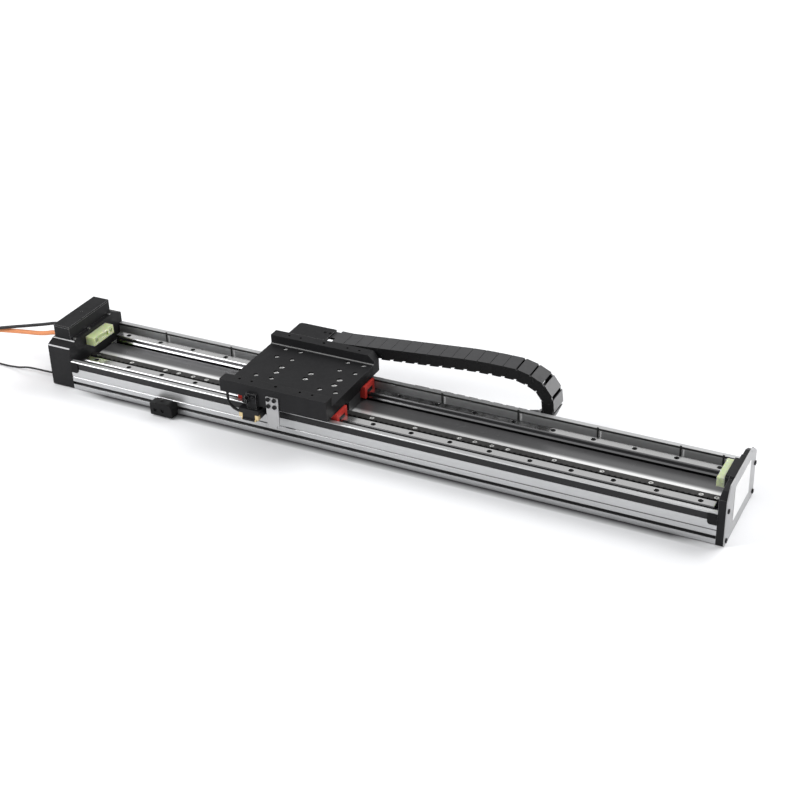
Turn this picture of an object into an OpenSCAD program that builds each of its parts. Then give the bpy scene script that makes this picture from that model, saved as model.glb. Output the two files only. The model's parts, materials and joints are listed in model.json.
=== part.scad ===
// Linear motor axis: an extruded base with two profile rails and a covered magnet track between them,
// a carriage with the coil unit below it, and a drag chain that feeds the carriage.
// The origin is under the middle of the base. X runs along the rails, and -Y is the scale side.

/* [Base] */
// Length of the base profile
base_length = 1020; // [980:20:1100]
// Width of the base profile
base_width = 138; // [138:1:142]
// Height of the front wall
front_wall_z = 49.5; // [48.5:0.5:50.5]
// Height of the rear wall
rear_wall_z = 54; // [52:0.5:56]
// Height of the seats that the rails stand on
seat_z = 31; // [30:0.5:31]
// Height of the floor that the magnet track stands on
floor_z = 22; // [20:0.5:22]

/* [Rails] */
// Distance from the base's side to a rail's centreline
rail_inset = 25.5; // [25.5:0.5:26.5]
// Width of a rail
rail_width = 15; // [14:0.5:15]
// Distance between two rail screws
rail_hole_pitch = 60; // [60:5:70]

/* [Magnet track] */
// Thickness of the back iron
iron_thickness = 6; // [4:0.5:6]
// Thickness of the magnets
magnet_thickness = 5.3; // [4:0.1:5.3]
// Height of the clamp bar on the back iron
clamp_height = 13; // [11:0.5:13]

/* [End pieces] */
// Thickness of the left end block
left_block_length = 40; // [36:1:50]
// Height of the left end block
left_block_z = 77; // [77:0.5:80]
// Thickness of the right end plate
right_plate_length = 10.5; // [9:0.5:14]
// Thickness of the right cover plate
cover_plate_thickness = 1.5; // [1:0.25:3]
// Width of the bumpers
bumper_width = 51; // [48:1:54]
// Height of the junction box on the left end block
box_height = 22; // [20:0.5:26]

/* [Carriage] */
// Place of the carriage's middle along the rails
carriage_x = -140.4; // [-150.4:1:-135.4]
// Length of the carriage
carriage_length = 175.5; // [175.5:0.5:181.5]
// Height of the carriage's underside
carriage_z = 59; // [59:0.5:60]
// Thickness of the carriage plate between its rims
carriage_thickness = 17; // [15:0.5:17]
// Height of the two rims above the plate
rim_height = 14.5; // [12:0.5:15]
// Distance between the screw rows of the two rims
rim_hole_spacing = 144.4; // [144:0.1:145]
// Diameter of the tapped holes in the rims
rim_hole_d = 4.2; // [3.3:0.1:5]

/* [Bearing blocks] */
// Distance between the bearing blocks along the rail
block_spacing = 106.8; // [104:0.2:108]
// Width of a bearing block
block_width = 34; // [32:0.5:34]
// Length of a bearing block's steel body
block_body_length = 39.4; // [38:0.2:40]
// Thickness of an end cap
block_cap_length = 9.5; // [8:0.5:11]

/* [Drag chain] */
// Width of the drag chain
chain_width = 36; // [34:1:40]
// Distance between two chain pins
chain_pitch = 20; // [20:0.5:21]
// Height of a chain link
chain_height = 18.7; // [18.7:0.1:19.5]

/* [Cables] */
// Diameter of the power cable
power_d = 7; // [6:0.5:8]
// Diameter of the encoder cable
encoder_d = 5; // [4:0.5:6]
// Diameter of the sensor cable
sensor_d = 3; // [2:0.5:3.5]

/* [Hidden] */
$fn = 48;

// clearances
screw_clearance = 0.05;
part_gap = 0.3;
pin_clearance = 0.08;

// base section
half_length = base_length / 2;
half_width = base_width / 2;
wall_thickness = 8.2;
rail_pitch = base_width - 2 * rail_inset;
rail_y = rail_pitch / 2;
channel_front_y = -rail_y + rail_width / 2 + 3;
channel_rear_y = rail_y - rail_width / 2 - 1;
wall_chamfer = 0.8;
slot_z = 9.7;
slot_mouth = 5.2;
slot_inner = 8.8;
slot_lip = 1.6;
slot_depth = 4.6;
recess_z = 37.3;
recess_height = 10.5;
recess_depth = 1.2;
groove_z = 23.2;
groove_depth = 1.1;
foot_relief_half = 34;
foot_relief_depth = 1.2;
foot_chamfer = 2.2;
foot_hole_r = 2.5;
foot_hole_depth = 14;
foot_hole_x = [150, half_length - 60];
foot_hole_y = half_width - 19;

// rails
rail_half_length = half_length - 10;
rail_height = 15;
rail_top_z = seat_z + rail_height;
rail_count = floor((2 * rail_half_length - 20) / rail_hole_pitch) + 1;
rail_first_x = -rail_hole_pitch * (rail_count - 1) / 2;
rail_waist = 1.9;
rail_bore_r = 2.25;
rail_counterbore_r = 3.75;
rail_counterbore_depth = 5.3;
rail_screw_r = 2;
rail_head_r = 3.5;
rail_head_height = 4;
rail_screw_length = 20;

// magnet track
track_half_length = half_length - 5.5;
iron_y = [channel_front_y + 6, channel_rear_y - 2];
clamp_width = 11;
clamp_front_y = -rail_y + block_width / 2 + 0.5;
clamp_y = [clamp_front_y, clamp_front_y + clamp_width];
cover_y = [clamp_y[1] + 0.5, iron_y[1]];
magnet_y = [cover_y[0] + 1, cover_y[1] - 8.5];
iron_top_z = floor_z + iron_thickness;
magnet_top_z = iron_top_z + magnet_thickness;
cover_z = magnet_top_z + 0.2;
cover_thickness = 0.5;
clamp_top_z = iron_top_z + clamp_height;
track_left_breaks = [147.5, 197.5, 340.5];
track_right_breaks = [368.5, 318.5, 18.5];
track_joint = 0.4;
magnet_pitch = 24;
magnet_joint = 1;
track_screw_inset = 12;
track_screw_y = (clamp_y[0] + clamp_y[1]) / 2;
track_screw_r = 2;
track_head_r = 3.5;
track_head_height = 4;
track_head_recess = 0.6;
track_screw_length = 26;

// rear wall
trim_height = 3;
trim_thickness = 0.8;
trim_post_width = 3;
pin_r = 1.5;
pin_offset = 4.2;
pin_notch = 3.4;
wall_inner_y = half_width - wall_thickness;
post_pitch = 120;
post_count = floor(2 * (half_length - 60) / post_pitch);
post_x = concat(
    [for (i = [0 : post_count]) (i - post_count / 2) * post_pitch],
    [half_length - 30]
);

// end pieces
block_x = -half_length - left_block_length;
block_shoulder_z = 70.7;
block_foot_chamfer = 2.5;
plate_x = half_length + right_plate_length;
shelf_screw_y = [22 - half_width, -10, half_width - 26];
end_screw_inset = 29;
end_screw_y = half_width - end_screw_inset;
end_screw_z = [8, 26];
end_screw_r = 2.5;
end_head_r = 4.2;
end_head_height = 5;
end_screw_reach = 12;
cover_screw_y = half_width - 5.5;
cover_top_z = left_block_z + 12;
cover_side_z = block_shoulder_z - 0.7;
cover_corner = [11, 24.4];
cover_pilot = [40, 84];
cover_screw_z = [7.5, 53];
bumper_pad_length = 5.4;
bumper_z = 57.4;
bumper_height = 13.8;
right_bumper_z = 61.6;
left_bumper_length = 15.4;
right_bumper_length = 10.7;
bumper_screw_y = 18.5;
bumper_recess_half = 11;
bumper_recess_depth = 2;
bumper_screw_r = 2;
bumper_head_r = 3.3;
bumper_head_height = 3;

// junction box
box_x = [block_x + 4, block_x + 32.5];
box_y = [-53.4, 51.1];
box_z = left_block_z;
box_wall = 2.5;
lid_thickness = 3;
box_top_z = box_z + box_height;
outlet_y = [-48.8, -37.4];
power_z = box_z + 4.5;
encoder_z = box_z + 15;
gland_depth = 4;
gland_floor = 1.5;
gland_wall = 0.8;
sensor_y = -55.4;
sensor_z = 12;

// scale and limit sensor
scale_thickness = 0.8;
clip_length = 13;
clip_drop = 6;
clip_thickness = 2.2;
limit_x = [-355, -317];
limit_z = [3.3, 24.6];
limit_depth = 19;
clamp_plate = 3;

// carriage
rim_front_y = [-83.9, -66.4];
rim_rear_y = [64, 80.6];
rim_foot = 1.2;
carriage_top_z = carriage_z + carriage_thickness;
rim_top_z = carriage_top_z + rim_height;
carriage_left = carriage_x - carriage_length / 2;
carriage_right = carriage_x + carriage_length / 2;
rim_hole_x = [-60, -40, 40, 60];
rim_middle_r = 2.5;
rim_hole_depth = 12;
plate_bore_r = 2.25;
plate_head_r = 3.5;
plate_counterbore_r = 4;
plate_counterbore_depth = 9;
forcer_screw_x = [-35.1, 13.9, 61.9];
forcer_bore_r = 2.75;
forcer_head_r = 4.25;
forcer_counterbore_r = 4.7;
forcer_counterbore_depth = 10;

// bearing blocks
block_z = seat_z + 4.3;
block_top_z = carriage_z;
block_screw_offset = 13;
block_screw_reach = 6;
cap_inset = 1.8;

// coil unit
forcer_y = [magnet_y[0] + 0.1, magnet_y[1] - 1.9];
forcer_plate_y = [forcer_y[0] - 6, forcer_y[1] + 2];
forcer_screw_y = [forcer_plate_y[0] + 7.5, forcer_plate_y[0] + 24];
forcer_bottom_z = cover_z + cover_thickness + 1;
forcer_plate_z = carriage_z - 6;
forcer_length = 150;
forcer_x = carriage_x + 10.4;

// read head and flag
head_x = carriage_x - 37.4;
head_gap = 1.9;
head_back_y = -half_width - head_gap;
head_front_y = -91.4;
bracket_y = [-93.4, -83.9];
flag_x = carriage_x;
flag_thickness = 2;
lead_r = 2.1;
lead_recess_x = carriage_x - 51;
lead_recess_y = -64;
lead_recess_z = carriage_z + 11.5;

// chain
chain_y = 84.6;
link_half_height = chain_height / 2;
ear_r = 7.4;
ear_thickness = 1.5;
ear_gap = 0.1;
side_thickness = 2 * ear_thickness + ear_gap;
lid_z = ear_r + part_gap;
link_pin_r = 2.5;
link_pin_length = ear_thickness;
lid_end = 0.35;
first_lid_end = 1.3;
fixed_end_length = 30;
base_end = 3;
chain_start = [carriage_x + 26.4, carriage_z + 20];
upper_angles = [for (i = [0 : 9]) 5, 3, 1.5, 0, -1];
bend_upper_angles = [-14, -26, -54, -85];
bend_lower_angles = [-113, -141, -167];
lower_angles = [for (i = [0 : 7]) -180];

function step_xz(a) = chain_pitch * [cos(a), sin(a)];
function pivots_from(start, angles, n) =
    n == 0 ? start : pivots_from(start, angles, n - 1) + step_xz(angles[n - 1]);

bend_start = pivots_from(chain_start, upper_angles, len(upper_angles));
bend_middle = pivots_from(bend_start, bend_upper_angles, len(bend_upper_angles));
lower_start = pivots_from(bend_middle, bend_lower_angles, len(bend_lower_angles));
lower_end = pivots_from(lower_start, lower_angles, len(lower_angles));

// chain carriers
chain_bracket_x = [carriage_x - 65.6, carriage_x - 2.6];
chain_bracket_thickness = 3.5;
flange_screw_x = [-16, 16];
flange_screw_z = carriage_z + 12;
flange_screw_r = 2;
tongue_screw_x = [-42, -33];
tongue_screw_y = 20;
tongue_screw_r = 1.25;
tongue_thickness = 3.5;
tray_thickness = 2.5;
tray_z = lower_end[1] - link_half_height - part_gap - tray_thickness;
tray_x = [lower_end[0] - 36, half_length - 60];
tray_rear_y = chain_y + chain_width + 5.4;
tray_lip = 12;
tray_wall_height = 19;

// cable routes, from the outlet to the plug
power_route = [
    [box_x[0] + gland_floor, outlet_y[0], power_z], [-551, outlet_y[0], power_z], [-558, -48.8, 79.8],
    [-568, -48.8, 76.8], [-584, -48.8, 73.6], [-606, -48.8, 70.9], [-633, -48.8, 67.2], [-660, -48.8, 62.9],
    [-684, -49, 55.5], [-704, -49.2, 45.5], [-722, -49.4, 33], [-740, -49.6, 20.5], [-760, -49.8, 9.8],
    [-782, -50, 4.8], [-808, -50.2, 3.8], [-840, -50.4, 3.8], [-872, -50.6, 3.8], [-900, -50.8, 4.4],
    [-924, -51, 6], [-948, -51.2, 8.4]
];
encoder_route = [
    [box_x[0] + gland_floor, outlet_y[1], encoder_z], [-551, outlet_y[1], encoder_z], [-560, -38, 90.4],
    [-572, -39.6, 87.4], [-588, -42.4, 84], [-606, -46, 80.5], [-630, -50.7, 76], [-653, -55.5, 71.5],
    [-675, -60, 65.6], [-696, -64, 55.6], [-714, -67, 43.6], [-731, -69.5, 30.6], [-749, -71.5, 17.8],
    [-769, -73, 7.6], [-792, -74, 3.4], [-818, -75, 2.8], [-846, -76, 2.8], [-874, -76.8, 2.8],
    [-900, -77.4, 3.3], [-924, -78, 4.8], [-948, -78.6, 7]
];
sensor_route = [
    [block_x + gland_floor, sensor_y, sensor_z], [-554, sensor_y, sensor_z], [-563, -55.3, 11.4],
    [-578, -55.2, 11], [-594, -55.2, 10.8], [-608, -55, 10], [-618, -54.6, 8], [-627, -54.1, 5.7],
    [-638, -53.4, 4], [-651, -52.6, 2.6], [-662, -51.8, 1.95], [-676, -51, 1.8], [-696, -49, 1.8],
    [-716, -45.4, 1.8], [-738, -40.4, 1.8], [-762, -35.4, 1.8], [-790, -31, 1.8], [-820, -28, 1.8],
    [-852, -26, 1.8], [-886, -25, 2.2], [-916, -24.4, 3.4], [-946, -24, 5.2]
];
lead_route = [
    [head_x - 16.4, -81, 41], [head_x - 24, -81, 41.6], [head_x - 31, -81.2, 44.2],
    [head_x - 36.6, -81.4, 49], [head_x - 40, -81, 55.5], [head_x - 41.2, -80, 62],
    [head_x - 41.25, -79.9, lead_recess_z - 0.2]
];

// boxes from two corners, so that a piece is written by the faces it reaches
module block(a, b) {
    translate(a) cube(b - a);
}

// a section drawn in Y and Z and pushed along X
module along_x(x0, x1) {
    translate([x0, 0, 0]) rotate([90, 0, 90]) linear_extrude(x1 - x0) children();
}

module cylinder_x(at, r, h) {
    translate(at) rotate([0, 90, 0]) cylinder(r = r, h = h);
}

module cylinder_y(at, r, h) {
    translate(at) rotate([-90, 0, 0]) cylinder(r = r, h = h);
}

module cylinder_z(at, r, h) {
    translate(at) cylinder(r = r, h = h);
}

// a cap screw that points down, with its head on the height at[2]
module cap_screw(at, shank_r, length, head_r, head_h) {
    translate(at) difference() {
        union() {
            cylinder(r = head_r, h = head_h);
            translate([0, 0, -length]) cylinder(r = shank_r, h = length + 0.01);
        }
        translate([0, 0, head_h * 0.45]) cylinder(r = head_r * 0.52, h = head_h, $fn = 6);
    }
}

module tube(route, r, sides) {
    n = len(route);
    function direction(i) =
        let (v = i == 0 ? route[1] - route[0]
            : i == n - 1 ? route[n - 1] - route[n - 2]
            : (route[i + 1] - route[i]) / norm(route[i + 1] - route[i])
                + (route[i] - route[i - 1]) / norm(route[i] - route[i - 1]))
        v / norm(v);
    function across(d) = let (s = cross([0, 0, 1], d)) s / norm(s);
    function ring(i) =
        let (d = direction(i), s = across(d), u = cross(d, s))
        [for (k = [0 : sides - 1]) route[i] + r * (cos(360 * k / sides) * s + sin(360 * k / sides) * u)];
    points = [for (i = [0 : n - 1]) each ring(i)];
    walls = [for (i = [0 : n - 2], k = [0 : sides - 1])
        let (m = (k + 1) % sides, a = i * sides, b = a + sides)
        each [[a + k, b + k, b + m], [a + k, b + m, a + m]]];
    caps = [[for (k = [0 : sides - 1]) k], [for (k = [sides - 1 : -1 : 0]) (n - 1) * sides + k]];
    polyhedron(points, concat(walls, caps));
}

// ---- base ----

module base_outline() {
    polygon([
        [-half_width + foot_chamfer, 0], [-foot_relief_half, 0],
        [-foot_relief_half + foot_relief_depth, foot_relief_depth],
        [foot_relief_half - foot_relief_depth, foot_relief_depth], [foot_relief_half, 0],
        [half_width - foot_chamfer, 0], [half_width, foot_chamfer],
        [half_width, rear_wall_z], [half_width - wall_thickness + trim_thickness, rear_wall_z],
        [half_width - wall_thickness + trim_thickness, rear_wall_z - trim_height],
        [half_width - wall_thickness, rear_wall_z - trim_height],
        [half_width - wall_thickness, seat_z], [channel_rear_y, seat_z],
        [channel_rear_y, floor_z], [channel_front_y, floor_z], [channel_front_y, seat_z],
        [-half_width + wall_thickness, seat_z], [-half_width + wall_thickness, front_wall_z - wall_chamfer],
        [-half_width + wall_thickness - wall_chamfer, front_wall_z],
        [-half_width + wall_chamfer, front_wall_z], [-half_width, front_wall_z - wall_chamfer],
        [-half_width, recess_z + recess_height], [-half_width + recess_depth, recess_z + recess_height],
        [-half_width + recess_depth, recess_z], [-half_width, recess_z],
        [-half_width, groove_z + groove_depth], [-half_width + groove_depth, groove_z],
        [-half_width, groove_z - groove_depth], [-half_width, foot_chamfer]
    ]);
}

module side_slot(side) {
    mouth_y = side < 0 ? -half_width - 1 : half_width - slot_lip - 0.01;
    inner_y = side < 0 ? -half_width + slot_lip : half_width - slot_depth;
    along_x(-half_length - 1, half_length + 1) {
        translate([mouth_y, slot_z]) square([slot_lip + 1.01, slot_mouth]);
        translate([inner_y, slot_z - (slot_inner - slot_mouth) / 2])
            square([slot_depth - slot_lip, slot_inner]);
    }
}

module base_profile() {
    color("silver") difference() {
        along_x(-half_length, half_length) base_outline();
        side_slot(-1);
        side_slot(1);
        for (x = post_x) {
            block([x - trim_post_width / 2, wall_inner_y - 1, seat_z + 1],
                [x + trim_post_width / 2, wall_inner_y + trim_thickness, rear_wall_z + 1]);
            block([x + pin_offset - pin_notch / 2, wall_inner_y - 1, seat_z],
                [x + pin_offset + pin_notch / 2, wall_inner_y + pin_notch, rear_wall_z - trim_height]);
        }
        for (x = foot_hole_x, sx = [-1, 1], sy = [-1, 1])
            cylinder_z([sx * x, sy * foot_hole_y, -1], foot_hole_r, foot_hole_depth + 1);
        for (i = [0 : rail_count - 1], s = [-1, 1])
            cylinder_z(
                [rail_first_x + i * rail_hole_pitch, s * rail_y, seat_z - rail_screw_length + 8],
                rail_screw_r + screw_clearance, rail_screw_length);
        for (x = track_screw_x())
            cylinder_z([x, track_screw_y, floor_z - 12], track_screw_r + screw_clearance, 13);
        for (s = [-1, 1], z = end_screw_z)
            cylinder_x([-half_length - 1, s * end_screw_y, z], end_screw_r + screw_clearance,
                end_screw_reach + 1);
        for (s = [-1, 1], z = end_screw_z)
            cylinder_x([half_length - end_screw_reach, s * end_screw_y, z], end_screw_r + screw_clearance,
                end_screw_reach + 1);
    }
}

// ---- rails ----

module rail_outline() {
    half = rail_width / 2;
    right = [
        [half, 0], [half, 5.2], [half - rail_waist, 7.2], [half - rail_waist, 9.6], [half - 0.3, 11.4],
        [half - 0.3, 13.6], [half - 1.3, rail_height]
    ];
    left = [for (i = [len(right) - 1 : -1 : 0]) [-right[i][0], right[i][1]]];
    polygon(concat(right, left));
}

module rail(y) {
    difference() {
        translate([0, y, seat_z]) along_x(-rail_half_length, rail_half_length) rail_outline();
        for (i = [0 : rail_count - 1]) {
            x = rail_first_x + i * rail_hole_pitch;
            cylinder_z([x, y, seat_z - 1], rail_bore_r, rail_height + 2);
            cylinder_z([x, y, rail_top_z - rail_counterbore_depth], rail_counterbore_r, rail_height);
        }
    }
}

module front_rail() {
    color("gainsboro") rail(-rail_y);
}

module rear_rail() {
    color("gainsboro") rail(rail_y);
}

module rail_screws() {
    color("dimgray") for (i = [0 : rail_count - 1], s = [-1, 1])
        cap_screw([rail_first_x + i * rail_hole_pitch, s * rail_y, rail_top_z - rail_counterbore_depth],
            rail_screw_r, rail_screw_length, rail_head_r, rail_head_height);
}

// ---- magnet track ----

track_ends = concat(
    [-track_half_length],
    [for (d = track_left_breaks) -track_half_length + d],
    [for (d = track_right_breaks) track_half_length - d],
    [track_half_length]
);

function track_screw_x() = [
    for (i = [0 : len(track_ends) - 2])
        let (a = track_ends[i] + track_screw_inset, b = track_ends[i + 1] - track_screw_inset,
            n = max(1, round((b - a) / 70)))
        each (b < a + 8 ? [(a + b) / 2] : [for (k = [0 : n]) a + (b - a) * k / n])
];

module magnet_plates() {
    color("dimgray") difference() {
        for (i = [0 : len(track_ends) - 2])
            block([track_ends[i], iron_y[0], floor_z],
                [track_ends[i + 1] - track_joint, iron_y[1], iron_top_z]);
        for (x = track_screw_x())
            cylinder_z([x, track_screw_y, floor_z - 1], track_screw_r + screw_clearance, iron_thickness + 2);
    }
}

module magnets() {
    count = floor(2 * (track_half_length - 4) / magnet_pitch);
    color("silver") for (i = [0 : count - 1]) {
        x = (i - count / 2) * magnet_pitch;
        block([x + magnet_joint / 2, magnet_y[0], iron_top_z],
            [x + magnet_pitch - magnet_joint / 2, magnet_y[1], magnet_top_z]);
    }
}

module magnet_cover() {
    color("lightgray") union() {
        block([-track_half_length, cover_y[0], cover_z],
            [track_half_length, cover_y[1], cover_z + cover_thickness]);
        block([-track_half_length, cover_y[1] - cover_thickness, iron_top_z],
            [track_half_length, cover_y[1], cover_z + 0.01]);
    }
}

module magnet_clamp_bars() {
    color("dimgray") difference() {
        for (i = [0 : len(track_ends) - 2])
            block([track_ends[i], clamp_y[0], iron_top_z],
                [track_ends[i + 1] - track_joint, clamp_y[1], clamp_top_z]);
        for (x = track_screw_x()) {
            cylinder_z([x, track_screw_y, iron_top_z - 1], track_screw_r + screw_clearance,
                clamp_height + 2);
            cylinder_z([x, track_screw_y, clamp_top_z - track_head_height - track_head_recess],
                track_head_r + 0.5, track_head_height + 1);
        }
    }
}

module magnet_screws() {
    color("silver") for (x = track_screw_x())
        cap_screw([x, track_screw_y, clamp_top_z - track_head_height - track_head_recess],
            track_screw_r, track_screw_length, track_head_r, track_head_height);
}

// ---- rear wall ----

module wall_trim() {
    color("dimgray") union() {
        block([-half_length, wall_inner_y, rear_wall_z - trim_height],
            [half_length, wall_inner_y + trim_thickness, rear_wall_z]);
        for (x = post_x)
            block([x - trim_post_width / 2, wall_inner_y, seat_z + 1],
                [x + trim_post_width / 2, wall_inner_y + trim_thickness, rear_wall_z + 1.5]);
    }
}

module rail_pins() {
    color("silver") for (x = post_x)
        cylinder_z([x + pin_offset, wall_inner_y + pin_r + 0.1, seat_z], pin_r,
            rear_wall_z - trim_height - seat_z - 0.1);
}

// ---- end pieces ----

module left_end_block() {
    color([0.16, 0.16, 0.17]) difference() {
        along_x(block_x, -half_length) polygon([
            [-half_width + block_foot_chamfer, 0], [-half_width, block_foot_chamfer],
            [-half_width, block_shoulder_z], [-half_width + 14.6, left_block_z],
            [half_width - 15.4, left_block_z], [half_width - 0.4, block_shoulder_z], [half_width, 0]
        ]);
        for (s = [-1, 1], z = end_screw_z) {
            cylinder_x([block_x - 1, s * end_screw_y, z], end_head_r + 0.4, left_block_length - 15 + 1);
            cylinder_x([block_x, s * end_screw_y, z], end_screw_r + screw_clearance, left_block_length + 1);
        }
        for (s = [-1, 1])
            cylinder_x([-half_length - 12, s * bumper_screw_y, bumper_z + bumper_height / 2],
                bumper_screw_r + screw_clearance, 13);
        cylinder_x([block_x - 1, sensor_y, sensor_z], sensor_gland_r(), gland_depth + 1);
    }
}

function sensor_gland_r() = sensor_d / 2 + gland_wall;

module end_block_screws() {
    seat_x = block_x + left_block_length - 15;
    color("silver") {
        for (s = [-1, 1], z = end_screw_z)
            translate([seat_x, s * end_screw_y, z]) rotate([0, -90, 0])
                cap_screw([0, 0, 0], end_screw_r, 15 + end_screw_reach - 1, end_head_r, end_head_height);
        for (s = [-1, 1], z = end_screw_z)
            translate([plate_x - end_head_height - 0.2, s * end_screw_y, z]) rotate([0, 90, 0])
                cap_screw([0, 0, 0], end_screw_r,
                    right_plate_length - end_head_height - 0.2 + end_screw_reach - 1,
                    end_head_r, end_head_height);
        for (y = shelf_screw_y)
            cylinder_z([-half_length - 4, y, left_block_z], 2.6, 1.4);
    }
}

module right_end_plate() {
    color([0.16, 0.16, 0.17]) difference() {
        union() {
            along_x(half_length, plate_x) polygon([
                [-half_width + 1, 0], [-half_width, 1], [-half_width, block_shoulder_z],
                [-half_width + 14.6, left_block_z], [-26, left_block_z], [-23, left_block_z + 3.5],
                [34, left_block_z + 3.5], [37, left_block_z], [half_width - 15.4, left_block_z],
                [half_width - 0.4, block_shoulder_z], [half_width, 0]
            ]);
            along_x(half_length - bumper_pad_length, half_length + 0.01) polygon([
                [-26, 56], [26, 56], [26, left_block_z + 1.5], [23, left_block_z + 3.5],
                [-23, left_block_z + 3.5], [-26, left_block_z + 1.5]
            ]);
        }
        for (s = [-1, 1], z = end_screw_z) {
            cylinder_x([half_length - 1, s * end_screw_y, z], end_screw_r + screw_clearance,
                right_plate_length + 2);
            cylinder_x([plate_x - end_head_height - 0.2, s * end_screw_y, z], end_head_r + 0.4,
                end_head_height + 1);
        }
        for (s = [-1, 1], z = cover_screw_z)
            cylinder_x([plate_x - 8, s * cover_screw_y, z], bumper_screw_r + screw_clearance, 9);
        for (s = [-1, 1])
            cylinder_x([half_length - bumper_pad_length - 1, s * bumper_screw_y,
                right_bumper_z + bumper_height / 2], bumper_screw_r + screw_clearance, 12);
    }
}

module right_cover_plate() {
    color("silver") difference() {
        along_x(plate_x, plate_x + cover_plate_thickness) polygon([
            [-half_width, 0.5], [-half_width, cover_side_z], [-half_width + cover_corner[0], cover_top_z],
            [half_width - cover_corner[1], cover_top_z],
            [half_width - 0.4, block_shoulder_z], [half_width, 0.5]
        ]);
        for (s = [-1, 1], z = cover_screw_z)
            cylinder_x([plate_x - 1, s * cover_screw_y, z], bumper_screw_r + screw_clearance,
                cover_plate_thickness + 2);
        cylinder_x([plate_x - 1, cover_pilot[0], cover_pilot[1]], 1.6, cover_plate_thickness + 2);
    }
}

module cover_plate_screws() {
    color([0.2, 0.2, 0.21]) for (s = [-1, 1], z = cover_screw_z)
        translate([plate_x + cover_plate_thickness, s * cover_screw_y, z]) rotate([0, 90, 0])
            cap_screw([0, 0, 0], bumper_screw_r, 8, 3.4, 1.8);
}

// a urethane stop with two counterbored screw holes and a hollow between them; its foot is at x = 0
module bumper(length, z0) {
    middle = z0 + bumper_height / 2;
    difference() {
        block([0, -bumper_width / 2, z0], [length, bumper_width / 2, z0 + bumper_height]);
        block([length - bumper_recess_depth, -bumper_recess_half, middle - 3.4],
            [length + 1, bumper_recess_half, middle + 3.4]);
        for (s = [-1, 1]) {
            cylinder_x([-1, s * bumper_screw_y, middle], bumper_screw_r + screw_clearance, length + 2);
            cylinder_x([length - 5, s * bumper_screw_y, middle], bumper_head_r + 0.4, 6);
        }
    }
}

module left_bumper() {
    color([0.78, 0.88, 0.55]) translate([-half_length, 0, 0]) bumper(left_bumper_length, bumper_z);
}

module right_bumper() {
    color([0.78, 0.88, 0.55]) translate([half_length - bumper_pad_length, 0, 0]) mirror([1, 0, 0])
        bumper(right_bumper_length, right_bumper_z);
}

module bumper_screws() {
    color("silver") for (s = [-1, 1]) {
        translate([-half_length + left_bumper_length - 5, s * bumper_screw_y, bumper_z + bumper_height / 2])
            rotate([0, 90, 0])
                cap_screw([0, 0, 0], bumper_screw_r, 20, bumper_head_r, bumper_head_height);
        translate([half_length - bumper_pad_length - right_bumper_length + 5, s * bumper_screw_y,
            right_bumper_z + bumper_height / 2]) rotate([0, -90, 0])
                cap_screw([0, 0, 0], bumper_screw_r, 14, bumper_head_r, bumper_head_height);
    }
}

// ---- junction box ----

module junction_box() {
    color([0.2, 0.2, 0.21]) difference() {
        block([box_x[0], box_y[0], box_z], [box_x[1], box_y[1], box_top_z - lid_thickness]);
        block([box_x[0] + box_wall, box_y[0] + box_wall, box_z + box_wall],
            [box_x[1] - box_wall, box_y[1] - box_wall, box_top_z]);
        cylinder_x([box_x[0] - 1, outlet_y[0], power_z], power_d / 2 + gland_wall, box_wall + 2);
        cylinder_x([box_x[0] - 1, outlet_y[1], encoder_z], encoder_d / 2 + gland_wall, box_wall + 2);
    }
}

module junction_lid() {
    color([0.22, 0.22, 0.23]) difference() {
        block([box_x[0], box_y[0], box_top_z - lid_thickness], [box_x[1], box_y[1], box_top_z]);
        cylinder_z([(box_x[0] + box_x[1]) / 2, -1, box_top_z - 2], 2, 3);
    }
}

module gland(at, d, depth) {
    difference() {
        cylinder_x(at, d / 2 + gland_wall, depth);
        cylinder_x(at - [1, 0, 0], d / 2 + screw_clearance, gland_floor + 1);
    }
}

module power_gland() {
    color([0.13, 0.13, 0.14]) gland([box_x[0], outlet_y[0], power_z], power_d, box_wall);
}

module encoder_gland() {
    color([0.13, 0.13, 0.14]) gland([box_x[0], outlet_y[1], encoder_z], encoder_d, box_wall);
}

module sensor_gland() {
    color([0.13, 0.13, 0.14]) gland([block_x, sensor_y, sensor_z], sensor_d, gland_depth);
}

// ---- scale and limit sensor ----

module scale_strip() {
    floor_y = -half_width + recess_depth;
    color([0.13, 0.13, 0.14]) block([-half_length + clip_length, floor_y - scale_thickness, recess_z + 0.2],
        [half_length - clip_length, floor_y, recess_z + recess_height - 0.2]);
}

module scale_clip() {
    low_z = recess_z - clip_drop;
    high_z = recess_z + recess_height;
    round_r = 4;
    union() {
        block([0, -half_width - clip_thickness / 2, low_z], [clip_length - round_r, -half_width, high_z]);
        block([0, -half_width - clip_thickness / 2, low_z + round_r], [clip_length, -half_width, high_z]);
        cylinder_y([clip_length - round_r, -half_width - clip_thickness / 2, low_z + round_r],
            round_r, clip_thickness / 2);
        block([0, -half_width - 0.01, recess_z], [clip_length, -half_width + recess_depth, high_z]);
    }
}

module scale_clips() {
    color([0.13, 0.13, 0.14]) {
        translate([-half_length, 0, 0]) scale_clip();
        translate([half_length, 0, 0]) mirror([1, 0, 0]) scale_clip();
    }
}

limit_screw_x = [limit_x[0] + 9, limit_x[0] + 22];
limit_screw_z = slot_z + slot_mouth / 2;
limit_front_y = -half_width - limit_depth;
limit_seat_y = limit_front_y + 4;
limit_screw_reach = limit_depth - 4 + slot_depth - 0.6;

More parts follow.
